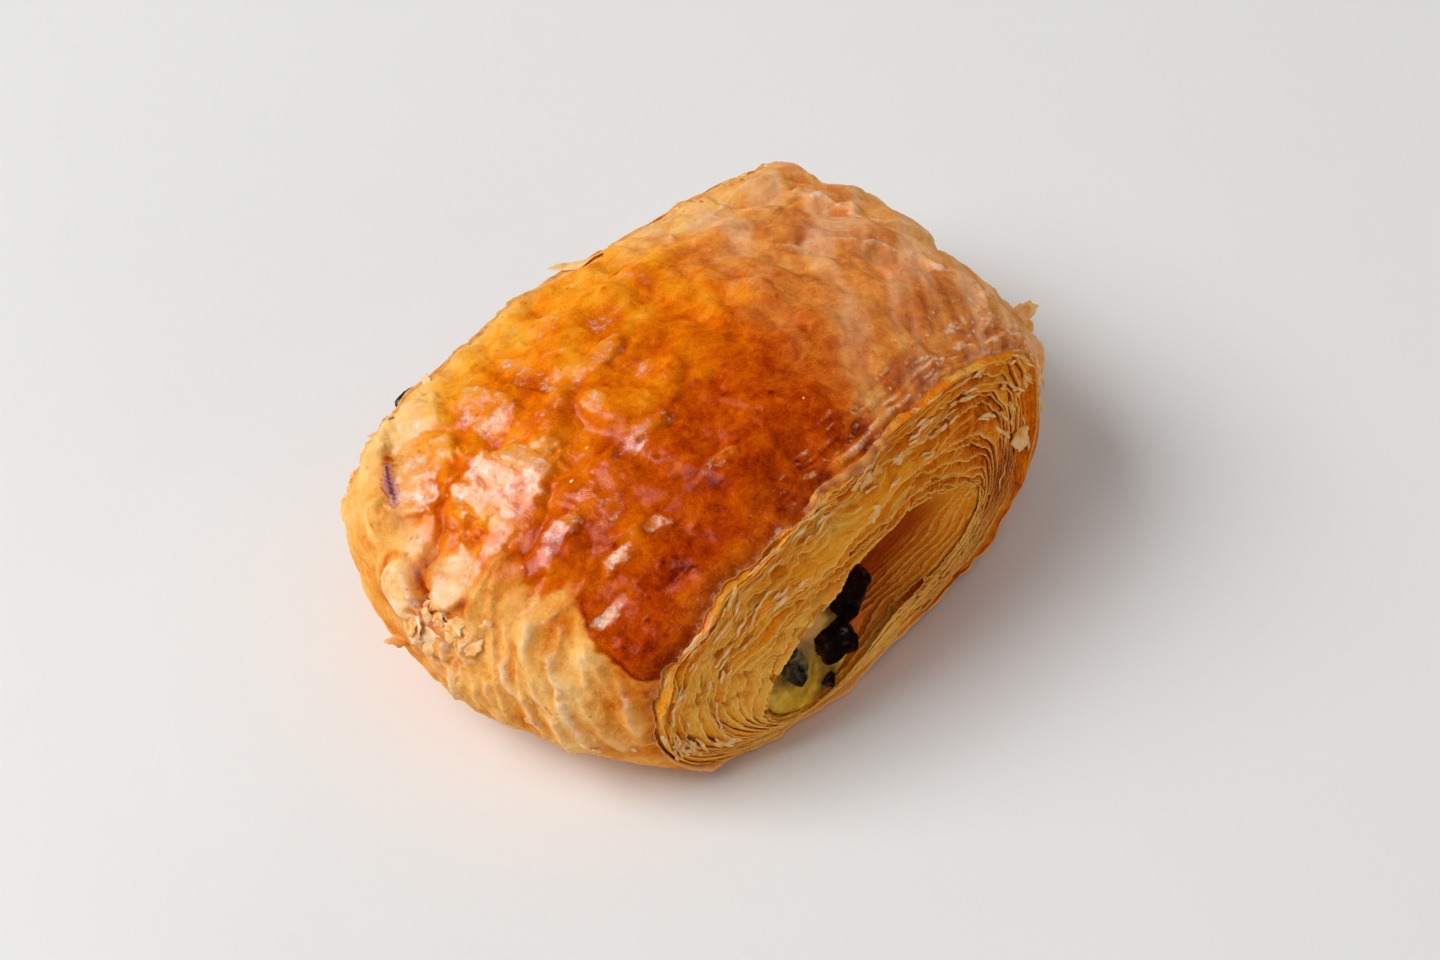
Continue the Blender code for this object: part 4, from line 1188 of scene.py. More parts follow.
# Zones of the front side: x, z, the two spreads, strength (above 0 is darker and has fewer pale edges).
FACE_ZONES = (
    (37, 14, 8, 8, 0.42), (47, 37, 7, 9, -0.38), (46, 26, 5, 6, -0.10), (-36, 18, 11, 9, -0.17),
    (5, 10, 9, 4, -0.22), (-26, 11, 9, 5, -0.14), (20, 12, 8, 5, -0.06), (28, 20, 6, 4, -0.06),
    (-44, 32, 6, 6, 0.10), (14, 40, 18, 4, 0.06),
)


def face_zone(point):
    """How much darker the front side is at each point than its leaves' own tone."""
    x, y, z = np.moveaxis(point, -1, 0)
    return add_spots(0 * x, x, z, FACE_ZONES) * (y < 0)


def leaf_amber(leaf, degrees, lip_x, low_right, uneven):
    """How deep the amber of one leaf's slope is, 0 to 1: deepest low down at the right, pale at the left."""
    amber = 0.40 + uneven + 0.20 * smooth_step(lip_x, 5, 30) - 0.16 * smooth_step(lip_x, 4, -20) * (leaf > 4)
    amber = amber + SHOULDER_AMBER.get(leaf, 0.0) * bell(degrees - 55, 45)
    return np.clip(amber + 0.40 * low_right, 0, 1)


def leaf_noises(lap, leaf, seed):
    """For one leaf: the places of its own in the noise, and a broad, a middle, a fine and a gritty noise."""
    spot = lap + np.array([0.0, 0.0, 37.0 * (leaf + 1) + seed])
    near = lap + np.array([0.0, 0.0, 11.0 * (leaf + 1) + seed])
    smaller = (lattice_noise(spot, cell, seed + step) for cell, step in ((8.0, 1), (2.2, 2), (0.9, 7)))
    return spot, lattice_noise(near, 26.0, seed), *smaller


def leaf_rows(angle, place, mouth, plan, seed):
    """Rows of points over all leaves of one cut side, with the marks edge, amber, strata and deep.

    For leaf k the rows climb from the slot to the edge: the share of the way to the mouth grows evenly,
    while the depth rises from the slot as one minus a power. Noise moves each edge in both directions.
    """
    lap = np.stack([48 * np.cos(angle), 30 * np.sin(angle), 0 * angle], -1)
    degrees = (np.degrees(angle) + 90) % 360 - 90
    lip, rim = cut_face(angle, 1.0, place, mouth), cut_face(angle, 0.0, place, mouth)
    span = np.linalg.norm(lip - rim, axis=-1)
    leftness = smooth_step(lip[..., 0], 4, -20)
    low_right = smooth_step(degrees, -30, -70) * smooth_step(lip[..., 0], -4, 8)
    edge_pale = (1 - 0.45 * low_right) * (1 - 0.45 * bell(degrees - 10, 30))
    flap = smooth_step(np.abs(degrees - FLAP_TURN), FLAP_SPREAD, 0.4 * FLAP_SPREAD)
    rows = []
    marks = {"edge": [], "amber": [], "strata": [], "deep": []}
    start = (FRONT_INSET if place < 0 else BACK_INSET) / span
    slot = 0.5 + 0 * angle

    def add(share, depth, edge, amber):
        point = cut_face(angle, share, place, mouth)
        point[..., 1] += np.sign(place) * depth
        rows.append(point)
        zone = face_zone(point)
        marks["edge"].append(edge * np.clip(1 - 1.9 * zone, 0.15, 1.2))
        marks["amber"].append(np.clip(amber + zone, 0, 1))
        marks["strata"].append(share * span + 0 * angle)
        marks["deep"].append(0 * angle)

    add(start, -3.0, 0.2, 0.6)
    for leaf, stops in enumerate(plan):
        last = leaf == len(plan) - 1
        flat = flap * (leaf == 0)
        spot, broad, middle, fine, grit = leaf_noises(lap, leaf, seed)
        wander = (1.9 * broad + 0.26 * middle + 0.10 * fine + 0.15 * grit) / span * (0.25 if last else 1.0)
        end = np.interp(degrees, LEAF_TURNS, (*stops, stops[0]))
        end = np.maximum(end + wander, start + 0.10 / span)
        wide = smooth_step((end - start) * span, 2.5, WIDE_LEAF)
        bite = smooth_step(lattice_noise(spot, 7.0, seed + 3), 0.34, 0.50) * smooth_step(span, 9, 16)
        proud = 0.20 * middle + 0.08 * fine + 0.12 * grit + 0.65 * broad - 0.9 * bite * (1 - wide)
        sunk = FLAP_DEPTH * flat
        uneven = 0.26 * lattice_noise(spot, 13.0, seed + 8) + 0.12 * fine - 0.10 * flat
        amber = leaf_amber(leaf, degrees, lip[..., 0], low_right, uneven)
        inner_pale = 0.40 * leftness * smooth_step(leaf / len(plan), 0.70, 0.90)
        for along in SLOPE_ROWS:
            swell = 0.7 * wide * math.sin(math.pi * along) * (1 + middle)
            depth = proud * along - slot * (1 - along) ** 2.2 + 0.18 * along ** 8 + swell
            depth = depth - sunk * math.sin(0.5 * math.pi * along) ** 0.8
            deep_spot = spot + (0, 0, 5 * along)
            uneven = 0.16 * lattice_noise(deep_spot, 1.8, seed + 9)
            uneven = uneven + 0.55 * wide * lattice_noise(deep_spot, 4.5, seed + 6)
            uneven = uneven * along * (1 - along) * 4
            pale = np.maximum(along ** 12 * (1 - flat), inner_pale)
            add(start + (end - start) * along, depth + uneven, pale, amber)
        thick = LEAF_THICKNESS / span
        edge = edge_pale * (1 - flat)
        add(end + 0.5 * thick, proud + 0.14 - sunk, edge, amber)
        add(end + thick, proud - 0.02 - sunk, 0.8 * edge, amber)
        if last:
            break
        slot = np.clip(0.8 + lattice_noise(spot, 9.0, seed + 4) + bite, 0.20, 2.4)
        # The two rows in the slot take the deepest amber: painted shade under the leaf.
        add(end + 1.06 * thick, proud - 0.5 * slot - sunk, 0.15, 1.0)
        start = end + 1.15 * thick
        add(start, proud - slot - sunk, 0.0, 1.0)
        slot = slot - proud + sunk
    return rows, marks


# %% Walls of the hollow behind each lip
POCKET_ROWS = 72
SHEET_PITCH = 1.5
SHEET_PROUD = 0.5
SHEETS_END = 8.5
WALL_AMBER = 0.42


def lower_lip(x, mouth):
    """Height of the mouth's lower lip at x."""
    centre, half_length = mouth_span(mouth)
    share = np.clip(np.abs(x - centre) / half_length, 0, 1)
    drop = mouth["half"] * (1 - share ** mouth["round"]) ** (1 / mouth["round"])
    line, deeper = mouth_bend(x, mouth)
    return line - drop * deeper


def hollow_rows(angle, place, mouth, tunnel, depth, seed):
    """Rows from a lip into the roll, with the same marks as the leaves.

    The wall narrows from the mouth to the tunnel over the depth. Sheets stand out from its foot and its
    right end as a saw wave of the climb, which is the depth plus the height over the lower lip. Above the
    last sheet the wall is smooth.
    """
    lip = cut_face(angle, 1.0, place, mouth)[..., 1]
    lap = np.stack([30 * np.cos(angle), 12 * np.sin(angle), 0 * angle], -1)
    beneath = smooth_step(np.sin(angle), 0.75, 0.35)
    rows = []
    marks = {"edge": [], "amber": [], "strata": [], "deep": []}
    for share in np.linspace(0, 1, POCKET_ROWS):
        x, z = mouth_loop(angle, blend_mouths(mouth, tunnel, share ** 0.8))
        centre_x, centre_z = x.mean(), z.mean()
        climb = share * depth + np.maximum(z - lower_lip(x, mouth), 0)
        spot = np.stack([x, 0 * x + share * depth, z], -1)
        wander = 1.1 * lattice_noise(lap, 12.0, seed) + 0.35 * lattice_noise(spot, 5.0, seed + 1)
        wave = (climb / SHEET_PITCH + wander + 0.12 * lattice_noise(spot, 1.1, seed + 3)) % 1
        frayed = climb + 1.5 * lattice_noise(lap, 6.0, seed + 4)
        layered = beneath * smooth_step(frayed, SHEETS_END + 1.5, SHEETS_END - 1.5)
        proud = SHEET_PROUD * layered * (wave ** 2.5 - 0.3) * smooth_step(share, 0.0, 0.06)
        proud = proud + 0.5 * lattice_noise(spot, 5.0, seed + 2) * smooth_step(share, 0.0, 0.2)
        away = np.hypot(x - centre_x, z - centre_z)
        x, z = x - proud * (x - centre_x) / away, z - proud * (z - centre_z) / away
        rows.append(np.stack([x, lip - np.sign(place) * share * depth, z], -1))
        smooth_wall = smooth_step(climb, 4.0, SHEETS_END + 3.0)
        # deep darkens the wall further into the hollow: painted shade.
        deep = smooth_step(share, 0.01, 0.4) * (0.25 + 0.75 * smooth_wall) * (1 - 0.5 * layered * wave)
        marks["edge"].append(layered * smooth_step(wave, 0.62, 0.9) * (1 - 0.4 * share))
        marks["amber"].append(WALL_AMBER + 0 * angle)
        marks["strata"].append(climb + 1.2 * wander)
        marks["deep"].append(deep)
    return rows, marks


LAYER_STEPS = 620
round_angles = np.linspace(0, 2 * math.pi, LAYER_STEPS, endpoint=False)


def cut_side(name, place, mouth, plan, seed, material):
    """One cut side as a single grid: all its leaves, from under the rim to the lip of the mouth."""
    rows, marks = leaf_rows(round_angles, place, mouth, plan, seed)
    grid = np.array(rows)
    grid[..., 2] = np.maximum(grid[..., 2], 0.05)
    return grid_mesh(name, grid, material, flip=place < 0, marks=marks)


def hollow(name, place, mouth, tunnel, depth, seed, material):
    """The wall behind one lip, as a grid of its own that starts on the lip."""
    rows, marks = hollow_rows(round_angles, place, mouth, tunnel, depth, seed)
    return grid_mesh(name, np.array(rows), material, flip=place < 0, marks=marks)


# %% Material of the leaves
SLOPE_STOPS = (
    (0.00, 0.97, 0.47, 0.060), (0.30, 0.94, 0.33, 0.013), (0.55, 0.84, 0.210, 0.003),
    (0.78, 0.60, 0.100, 0.0012), (1.00, 0.36, 0.034, 0.0006),
)
EDGE_COLOUR = (0.99, 0.58, 0.120)
# Painted shade deep in the hollow.
HOLLOW_SHADE_COLOUR = (0.42, 0.060, 0.002)


def strata_lines(tree):
    """Noise drawn out along the layers: it changes fast across them and slowly along them."""
    place = tree.nodes.new("ShaderNodeTexCoord")
    along = tree.nodes.new("ShaderNodeVectorMath")
    along.operation = "SCALE"
    along.inputs["Scale"].default_value = 75.0
    tree.links.new(place.outputs["Object"], along.inputs[0])
    lines = math_node(tree, "MULTIPLY", attribute(tree, "strata"), 1.9)
    across = add_node(tree, "ShaderNodeCombineXYZ", {"Z": lines})
    joined = tree.nodes.new("ShaderNodeVectorMath")
    joined.operation = "ADD"
    for socket, part in zip(joined.inputs, (along, across)):
        tree.links.new(part.outputs["Vector"], socket)
    return noise_at(tree, joined.outputs["Vector"], 1.0, 3.0, 0.3)


def leaf_material():
    """Butter-soaked leaves: amber slopes, pale crisp edges, dark red-brown in the slots and the hollow, which
    is painted shade.
    """
    material, tree, shader = new_material("dough_leaves", 0.48, 0.02)
    mottle = speckle(tree, 300.0, 4.0, stretch=(0.45, 1.0, 1.0))
    fine = speckle(tree, 2400.0, 4.0)
    grain = speckle(tree, 950.0, 5.0, stretch=(0.6, 1.0, 1.0), distortion=0.8)
    lines = strata_lines(tree)
    amber = attribute(tree, "amber")
    dark = add_swings(tree, amber, (mottle, 0.24), (fine, 0.22), (grain, 0.26), (lines, -0.30))
    colour = ramp(tree, dark, SLOPE_STOPS)
    crumbly = multiply_add(tree, fine, 1.2, 0.30)
    pale = math_node(tree, "MULTIPLY", attribute(tree, "edge"), crumbly, clamp=True)
    thin_edges = ramp(tree, lines, ((0.58, 0, 0, 0), (0.68, 0.75, 0.75, 0.75)))
    smooth_share = math_node(tree, "SUBTRACT", 1.45, math_node(tree, "MULTIPLY", amber, 1.2), clamp=True)
    pale = math_node(tree, "MAXIMUM", pale, math_node(tree, "MULTIPLY", thin_edges, smooth_share))
    colour = mix_colours(tree, pale, colour, EDGE_COLOUR)
    # The hollow darkens with its painted shade.
    colour = mix_colours(tree, attribute(tree, "deep"), colour, HOLLOW_SHADE_COLOUR)
    fill(tree, shader, {"Base Color": colour})
    glow(tree, shader, 0.25, LEAF_GLOW, 0.9)
    coat(tree, shader, 0.05, 0.30)
    rough = scaled_sum(tree, ((mottle, 1.0), (fine, 0.8), (grain, 1.6), (lines, 2.0)))
    bump(tree, shader, rough, 0.34, 0.9)
    return material


leaves = leaf_material()
front_side = cut_side("front_leaves", -1.0, FRONT_MOUTH, FRONT_LEAVES, 70, leaves)
back_side = cut_side("back_leaves", 1.0, BACK_MOUTH, BACK_LEAVES, 40, leaves)
front_hollow = hollow("front_hollow", -1.0, FRONT_MOUTH, FRONT_TUNNEL, POCKET_DEPTH, 110, leaves)
back_hollow = hollow("back_hollow", 1.0, BACK_MOUTH, BACK_TUNNEL, BACK_POCKET_DEPTH, 120, leaves)

# %% [markdown]
# ## The chocolate
# The filling holds broken pieces of dark chocolate. They softened in the oven and set again, so the blocks
# have blunt corners and a skin between dull and glossy. Each one is a ball pushed towards a box: the power
# of each coordinate squares it, and noise breaks its faces.

# %% Chocolate pieces
# Centre, the three half sizes, turn about Z and tilt about X in degrees.
CHIPS = {
    "chip_front_upper": ((-5.5, -40.6, 22.2), (4.3, 3.4, 3.8), 20, 15),
    "chip_front_middle": ((-10.5, -41.9, 15.2), (3.7, 3.2, 3.6), -25, 10),
    "chip_front_left": ((-19.4, -41.2, 15.4), (2.2, 2.6, 3.2), 10, -20),
    "chip_front_low": ((-12.8, -43.7, 8.7), (1.6, 1.3, 1.2), 35, 0),
    "chip_back_left": ((-9.0, 41.0, 18.0), (3.6, 3.2, 3.3), 15, 10),
    "chip_back_right": ((8.5, 41.2, 16.6), (3.4, 3.3, 3.1), -20, -12),
    "chip_back_rim": ((-29.6, 36.5, 32.6), (2.0, 1.3, 0.9), 12, -20),
}
CHIP_COLUMNS, CHIP_ROWS = 64, 40


def chip_points(centre, half_sizes, turn, tilt, seed):
    """A rounded box with broken faces: a ball, each coordinate raised to a power, then noise."""
    columns = np.linspace(0, 2 * math.pi, CHIP_COLUMNS, endpoint=False)
    round_angle, rise = np.meshgrid(columns, np.linspace(-0.4999 * math.pi, 0.4999 * math.pi, CHIP_ROWS))
    level = np.cos(rise)
    ball = np.stack([level * np.cos(round_angle), level * np.sin(round_angle), np.sin(rise)], -1)
    spot = ball * 10
    block = signed_power(ball, 0.70) * (1 + 0.11 * ripple(spot, 12.0, seed)[..., None])
    broken = np.abs(lattice_noise(spot, 7.0, 90 + seed)) + 0.4 * np.abs(lattice_noise(spot, 3.0, 30 + seed))
    block = block * (1.06 - 0.22 * broken[..., None]) * np.array(half_sizes)
    turn, tilt = math.radians(turn), math.radians(tilt)
    about_x = np.array([[1, 0, 0], [0, math.cos(tilt), -math.sin(tilt)], [0, math.sin(tilt), math.cos(tilt)]])
    about_z = np.array([[math.cos(turn), -math.sin(turn), 0], [math.sin(turn), math.cos(turn), 0], [0, 0, 1]])
    return block @ (about_z @ about_x).T + np.array(centre)


DARK_STOPS = (
    (0.35, 0.004, 0.0012, 0.0008), (0.58, 0.012, 0.004, 0.002), (0.68, 0.06, 0.022, 0.010),
    (0.8, 0.22, 0.09, 0.03),
)
STAINED_STOPS = (
    (0.35, 0.012, 0.008, 0.004), (0.48, 0.07, 0.06, 0.026), (0.60, 0.20, 0.17, 0.08),
    (0.72, 0.36, 0.32, 0.17),
)


def chocolate_material(name, stops):
    """Chocolate that melted and set again, bare or rubbed with custard."""
    material, tree, shader = new_material(name, 0.42, 0.20)
    cloud = speckle(tree, 420.0, 5.0, distortion=0.8)
    fill(tree, shader, {"Base Color": ramp(tree, cloud, stops)})
    coat(tree, shader, 0.25, 0.30)
    bump(tree, shader, cloud, 0.6, 0.8)
    return material


chocolate = chocolate_material("dark_chocolate", DARK_STOPS)
stained = chocolate_material("stained_chocolate", STAINED_STOPS)
STAINED_CHIPS = ("chip_front_left",)
chips = {}
for seed, (name, (centre, half_sizes, turn, tilt)) in enumerate(CHIPS.items()):
    points = chip_points(centre, half_sizes, turn, tilt, seed)
    finish = stained if name in STAINED_CHIPS else chocolate
    chips[name] = grid_mesh(name.replace("chip", "chocolate"), points, finish)

# %% [markdown]
# ## The custard
# Pastry cream sets in the oven to a soft, slightly glossy slab, an olive yellow that chocolate has stained
# in places. It fills the hollow from one cut side to the other and stops a little inside each lip. The
# piece is a closed tube of rings whose ends are drawn in to a point, with lumps on the ends only.

# %% Custard piece
CUSTARD_ROUND = 200
CUSTARD_CAP_ROWS = 26
CUSTARD_BODY_ROWS = 12
# Distance in millimetres from the wall of the hollow, and from the back lip.
CUSTARD_INSET, BACK_RECESS = 0.15, 3.0


def custard_cap(angle, place, mouth, shrink):
    """One ring of an end face, drawn in to a share of its size, with lumps that fade at the wall."""
    x, z = mouth_loop(angle, mouth, CUSTARD_INSET)
    middle_x, middle_z = x.mean(), z.mean()
    x = middle_x + (x - middle_x) * shrink
    z = middle_z + (z - middle_z) * shrink
    depth = side_depth(z, place, x / reach_at(x, place)) + LIP_PROUD - CUSTARD_RECESS
    ring = np.stack([x, place * (depth - CUSTARD_SLOPE * (z - middle_z)), z], -1)
    lumps = layered_noise(ring, (0.55, 3.6, 81), (0.25, 1.5, 82))
    ring[..., 1] += place * (lumps * smooth_step(shrink, 1.0, 0.8) - 0.8 * smooth_step(shrink, 0.93, 1.0))
    return ring


def make_custard(material):
    """The slab of custard, front end first."""
    angle = np.linspace(0, 2 * math.pi, CUSTARD_ROUND, endpoint=False)
    shrinks = np.linspace(0.01, 1, CUSTARD_CAP_ROWS)
    rows = [custard_cap(angle, -1.0, FRONT_TUNNEL, shrink) for shrink in shrinks]
    front_lip = cut_face(angle, 1.0, -1.0, FRONT_MOUTH)[..., 1] + POCKET_DEPTH
    back_lip = cut_face(angle, 1.0, 1.0, BACK_MOUTH)[..., 1] - BACK_RECESS
    for share in np.linspace(0, 1, CUSTARD_BODY_ROWS)[:-1]:
        x, z = mouth_loop(angle, blend_mouths(FRONT_TUNNEL, BACK_TUNNEL, share), CUSTARD_INSET)
        rows.append(np.stack([x, front_lip * (1 - share) + back_lip * share, z], -1))
    rows += [custard_cap(angle, 1.0, BACK_TUNNEL, shrink) for shrink in shrinks[::-1]]
    points = np.array(rows)
    smear = layered_noise(points, (0.5, 4.0, 84), (0.25, 1.6, 85))
    near = 0 * points[..., 0]
    for name, (centre, half_sizes, *_) in CHIPS.items():
        near = np.maximum(near, bell(np.linalg.norm(points - centre, axis=-1) - half_sizes[0] * 0.6, 3.0))
    marks = {
        "cocoa": np.clip(near * 0.9 + smear - 0.25, 0, 1),
        "tan": smooth_step(points[..., 2] + 4 * smear, 14.5, 18.5) * smooth_step(points[..., 0], -9, -13),
        "caramel": smooth_step(points[..., 0] + 2 * smear, -8.5, -5.5) * smooth_step(points[..., 1], 0, -20),
    }
    return grid_mesh("custard_slab", points, material, marks=marks)


CREAM_STOPS = (
    (0.28, 0.30, 0.16, 0.012), (0.42, 0.58, 0.31, 0.012), (0.56, 0.72, 0.42, 0.026), (0.76, 0.82, 0.60, 0.14),
)
CREAM_GLOW = (1.0, 0.7, 0.2)
CARAMEL_COLOUR = (0.66, 0.105, 0.008)
SOAKED_COLOUR = (0.66, 0.36, 0.10)
COCOA_COLOUR = (0.075, 0.032, 0.012)


def custard_material():
    """Set pastry cream: olive yellow, a little gloss, brown and green-grey stains near the chocolate."""
    material, tree, shader = new_material("set_custard", 0.40, 0.25)
    cloud = speckle(tree, 190.0, 4.0, distortion=0.8)
    fine = speckle(tree, 1300.0, 3.0)
    colour = ramp(tree, add_swings(tree, cloud, (fine, 0.12)), CREAM_STOPS)
    for mark, stain in (("tan", SOAKED_COLOUR), ("caramel", CARAMEL_COLOUR), ("cocoa", COCOA_COLOUR)):
        colour = mix_colours(tree, attribute(tree, mark), colour, stain)
    fill(tree, shader, {"Base Color": colour})
    glow(tree, shader, 0.3, CREAM_GLOW, 1.5)
    coat(tree, shader, 0.15, 0.22)
    bump(tree, shader, math_node(tree, "ADD", cloud, fine), 0.35, 0.6)
    return material


custard = make_custard(custard_material())

# %% [markdown]
# ## Loose flakes
# Cutting and cooling break bits off the outermost sheets. The larger flakes have their own places. Small
# ones lie at the rims and in the crags of the left end, and thin strips lie on the front cut side. A flake
# is a thin curled disc with a ragged outline: its two faces are one grid from centre to rim and back.

# %% Flakes as one grid each
FLAKE_COLUMNS, FLAKE_RINGS = 28, 5


def local_frame(turn, place):
    """Point, outward normal, direction along the roll and direction round it, on the uneven skin."""
    column = np.abs(degree_grid[0] - turn).argmin()
    row = np.abs(places - place).argmin()
    here = outer[row, column]
    normal = base_normal[row, column]
    along = unit(np.array([0.0, 1.0, 0.0]) - normal * normal[1])
    return here, normal, along, np.cross(normal, along)


def lifted(normal, along, side, heading, lift):
    """A direction over the skin: turned by a heading from along to side, and raised by a lift, in radians."""
    flat = along * math.cos(heading) + side * math.sin(heading)
    return flat * math.cos(lift) + normal * math.sin(lift)


def flake_grid(length, width, thickness, curl, seed, torn_edge=1.0):
    """A ragged curled disc in its own frame: out along the top, back along the underside."""
    turn = np.linspace(0, 2 * math.pi, FLAKE_COLUMNS, endpoint=False)
    lap = np.stack([np.cos(turn), np.sin(turn), 0 * turn], -1)
    ragged = 1 + torn_edge * layered_noise(lap, (0.22, 0.8, seed), (0.12, 0.3, seed + 1))
    reach = np.concatenate([np.linspace(0.02, 1, FLAKE_RINGS), np.linspace(1, 0.02, FLAKE_RINGS)])
    side = np.repeat([1.0, -1.0], FLAKE_RINGS)
    flat = (reach[:, None] * ragged)[..., None] * lap * (length / 2, width / 2, 0)
    bend = curl * (flat[..., 0] ** 2 + flat[..., 1] ** 2) / length
    bend = bend + 0.12 * length * lattice_noise(flat, 0.5 * length, seed + 2)
    taper = np.sqrt(np.clip(1.02 - reach ** 4, 0.04, 1))
    flat[..., 2] = bend + side[:, None] * thickness / 2 * taper[:, None]
    return flat


def placed(grid, here, long_axis, normal):
    """A flake's grid moved to a point, with its length along long_axis and its top towards the normal."""
    wide = unit(np.cross(normal, long_axis))
    top = np.cross(long_axis, wide)
    return here + grid[..., :1] * long_axis + grid[..., 1:2] * wide + grid[..., 2:] * top


def join_grids(name, grids, material, marks=None):
    """Many closed-round grids of one size as one mesh."""
    rows, columns = grids[0].shape[:2]
    firsts = np.arange(len(grids)) * rows * columns
    quads = (grid_quads(rows, columns)[None] + firsts[:, None, None]).reshape(-1, 4)
    return mesh_piece(name, np.concatenate([grid.reshape(-1, 3) for grid in grids]), quads, material, marks)


# Large flakes: angle, place, heading, length, width, thickness and lift.
FLAKES = ((184, 0.27, -100, 6.0, 3.4, 0.5, 40), (79, 0.95, 42, 9.5, 3.0, 0.5, 8))
# A flake that stands up at the right end and faces the front: angle, place, length, width, its length's
# direction and its face's.
STANDING_FLAKE = (8, -0.72, 8.6, 5.6, (-0.30, 0.05, 0.95), (-0.40, -0.80, 0.45))
# Thin torn strips on the front side: how many, and the highest share of the way to the mouth.
STRIPS, STRIP_REACH = 150, 0.62
# Small flakes that lie on the cut side: x, z, length, width and turn in degrees.
FACE_FLAKES = (
    (44.0, 18.5, 4.6, 4.4, 15), (0.5, 36.0, 3.2, 2.0, 60), (1.5, 41.0, 3.6, 2.0, 30),
    (4.0, 41.5, 2.6, 1.8, -30),
)
# Bands of scattered flakes: how many, lowest and highest angle and place, lengths, lifts, width over length.
FLAKE_BANDS = (
    (16, (158, 181), (-0.20, 0.18), (2.6, 5.4), (-4, 14), 0.72),
    (16, (10, 70), (0.90, 1.0), (1.2, 3.2), (0, 30), 0.5),
    (12, (120, 176), (0.92, 1.0), (1.2, 3.0), (0, 30), 0.5),
    (10, (176, 196), (-0.95, -0.3), (1.2, 2.6), (5, 30), 0.6),
    (8, (-30, 10), (-0.98, -0.7), (1.2, 2.4), (0, 14), 0.7),
    (6, (86, 150), (-0.7, 0.6), (0.5, 0.9), (0, 20), 0.7),
)


def scattered_flakes():
    """Thin flakes at seeded places of each band, most of them lying round the roll."""
    rng = np.random.default_rng(500)
    grids = []
    for count, turns, wheres, sizes, lifts, slim in FLAKE_BANDS:
        for _ in range(count):
            here, normal, along, side = local_frame(rng.uniform(*turns), rng.uniform(*wheres))
            length = rng.uniform(*sizes)
            heading = rng.normal(math.pi / 2, 0.45) * rng.choice([-1, 1])
            long_axis = lifted(normal, along, side, heading, math.radians(rng.uniform(*lifts)))
            width, curl = length * slim * rng.uniform(0.7, 1.3), rng.uniform(-0.4, 0.3)
            grid = flake_grid(length, width, 0.16, curl, int(rng.integers(9000)), torn_edge=1.6)
            grids.append(placed(grid, here + long_axis * length * 0.10 - normal * 0.05, long_axis, normal))
    return grids


def big_flakes():
    """The flakes with places of their own."""
    grids = []
    for seed, (angle, place, heading, length, width, thickness, lift) in enumerate(FLAKES):
        here, normal, along, side = local_frame(angle, place)
        long_axis = lifted(normal, along, side, math.radians(heading), math.radians(lift))
        grid = flake_grid(length, width, thickness, 0.35, 300 + 3 * seed)
        centre = here + long_axis * length * 0.18 + normal * 0.2
        grids.append(placed(grid, centre, long_axis, normal))
    angle, place, length, width, long_axis, facing = STANDING_FLAKE
    here = local_frame(angle, place)[0]
    grid = flake_grid(length, width, 0.35, 0.15, 365, torn_edge=1.7)
    grids.append(placed(grid, here, np.array(long_axis), np.array(facing)))
    return grids


def face_flakes():
    """Flakes and strips laid on the nearest leaf of the front side, with their tops towards the front."""
    spots = np.empty(3 * len(front_side.data.vertices), np.float32)
    front_side.data.vertices.foreach_get("co", spots)
    spots = spots.reshape(-1, 3) / MM + MIDDLE

    def laid_on(x, z):
        near = spots[np.hypot(spots[:, 0] - x, spots[:, 2] - z) < 1.2]
        return np.array([x, near[:, 1].min() + 0.05, z])

    grids = []
    for seed, (x, z, length, width, turn) in enumerate(FACE_FLAKES):
        turn = math.radians(turn)
        long_axis = np.array([math.cos(turn), 0.0, math.sin(turn)])
        grid = flake_grid(length, width, 0.3, 0.1, 380 + 3 * seed, torn_edge=1.3)
        grids.append(placed(grid, laid_on(x, z), long_axis, np.array([-0.15, -0.95, 0.25])))
    rng = np.random.default_rng(640)
    for _ in range(STRIPS):
        angle, share = math.radians(rng.uniform(-20, 205)), rng.uniform(0.03, STRIP_REACH)
        here = cut_face(np.array([angle - 0.02, angle + 0.02]), share, -1.0, FRONT_MOUTH)
        run = here[1] - here[0] + rng.normal(0, 0.12, 3) * np.linalg.norm(here[1] - here[0])
        length, width, curl = rng.uniform(1.8, 5.5), rng.uniform(0.35, 0.80), rng.uniform(-0.3, 0.3)
        grid = flake_grid(length, width, 0.14, curl, int(rng.integers(9000)), torn_edge=1.6)
        facing = np.array([0.0, -1.0, rng.uniform(-0.2, 0.8)])
        grids.append(placed(grid, laid_on(here[0, 0], here[0, 2]), unit(run), facing))
    return grids


FLAKE_STOPS = ((0.34, 0.80, 0.33, 0.05), (0.5, 0.90, 0.52, 0.19), (0.64, 0.93, 0.64, 0.34))


def flake_material():
    """Dry papery flakes, pale gold and cream."""
    material, tree, shader = new_material("dry_flakes", 0.5, 0.12)
    cloud = speckle(tree, 420.0, 5.0, distortion=0.6)
    fill(tree, shader, {"Base Color": ramp(tree, cloud, FLAKE_STOPS)})
    bump(tree, shader, cloud, 0.2, 0.4)
    return material


flakes = join_grids("flakes", big_flakes() + face_flakes() + scattered_flakes(), flake_material())

# %% [markdown]
# ## Torn sheets over the rims
# The outermost sheet doesn't end in a clean line. It tears, and thin tongues of it hang over the first
# leaves. Each tongue is one closed grid that starts under the skin and ends in a ragged edge.

# %% Torn sheets that lap over the two rims
# For each rim: the way it faces, how many sheets, their first and last angle, and the range of their tone.
LAPPED_RIMS = ((-1.0, 30, 8.0, 100.0, (0.50, 0.76)), (1.0, 44, 0.0, 214.0, (0.34, 0.60)))
LAP_STEPS, LAP_ACROSS = 60, 9
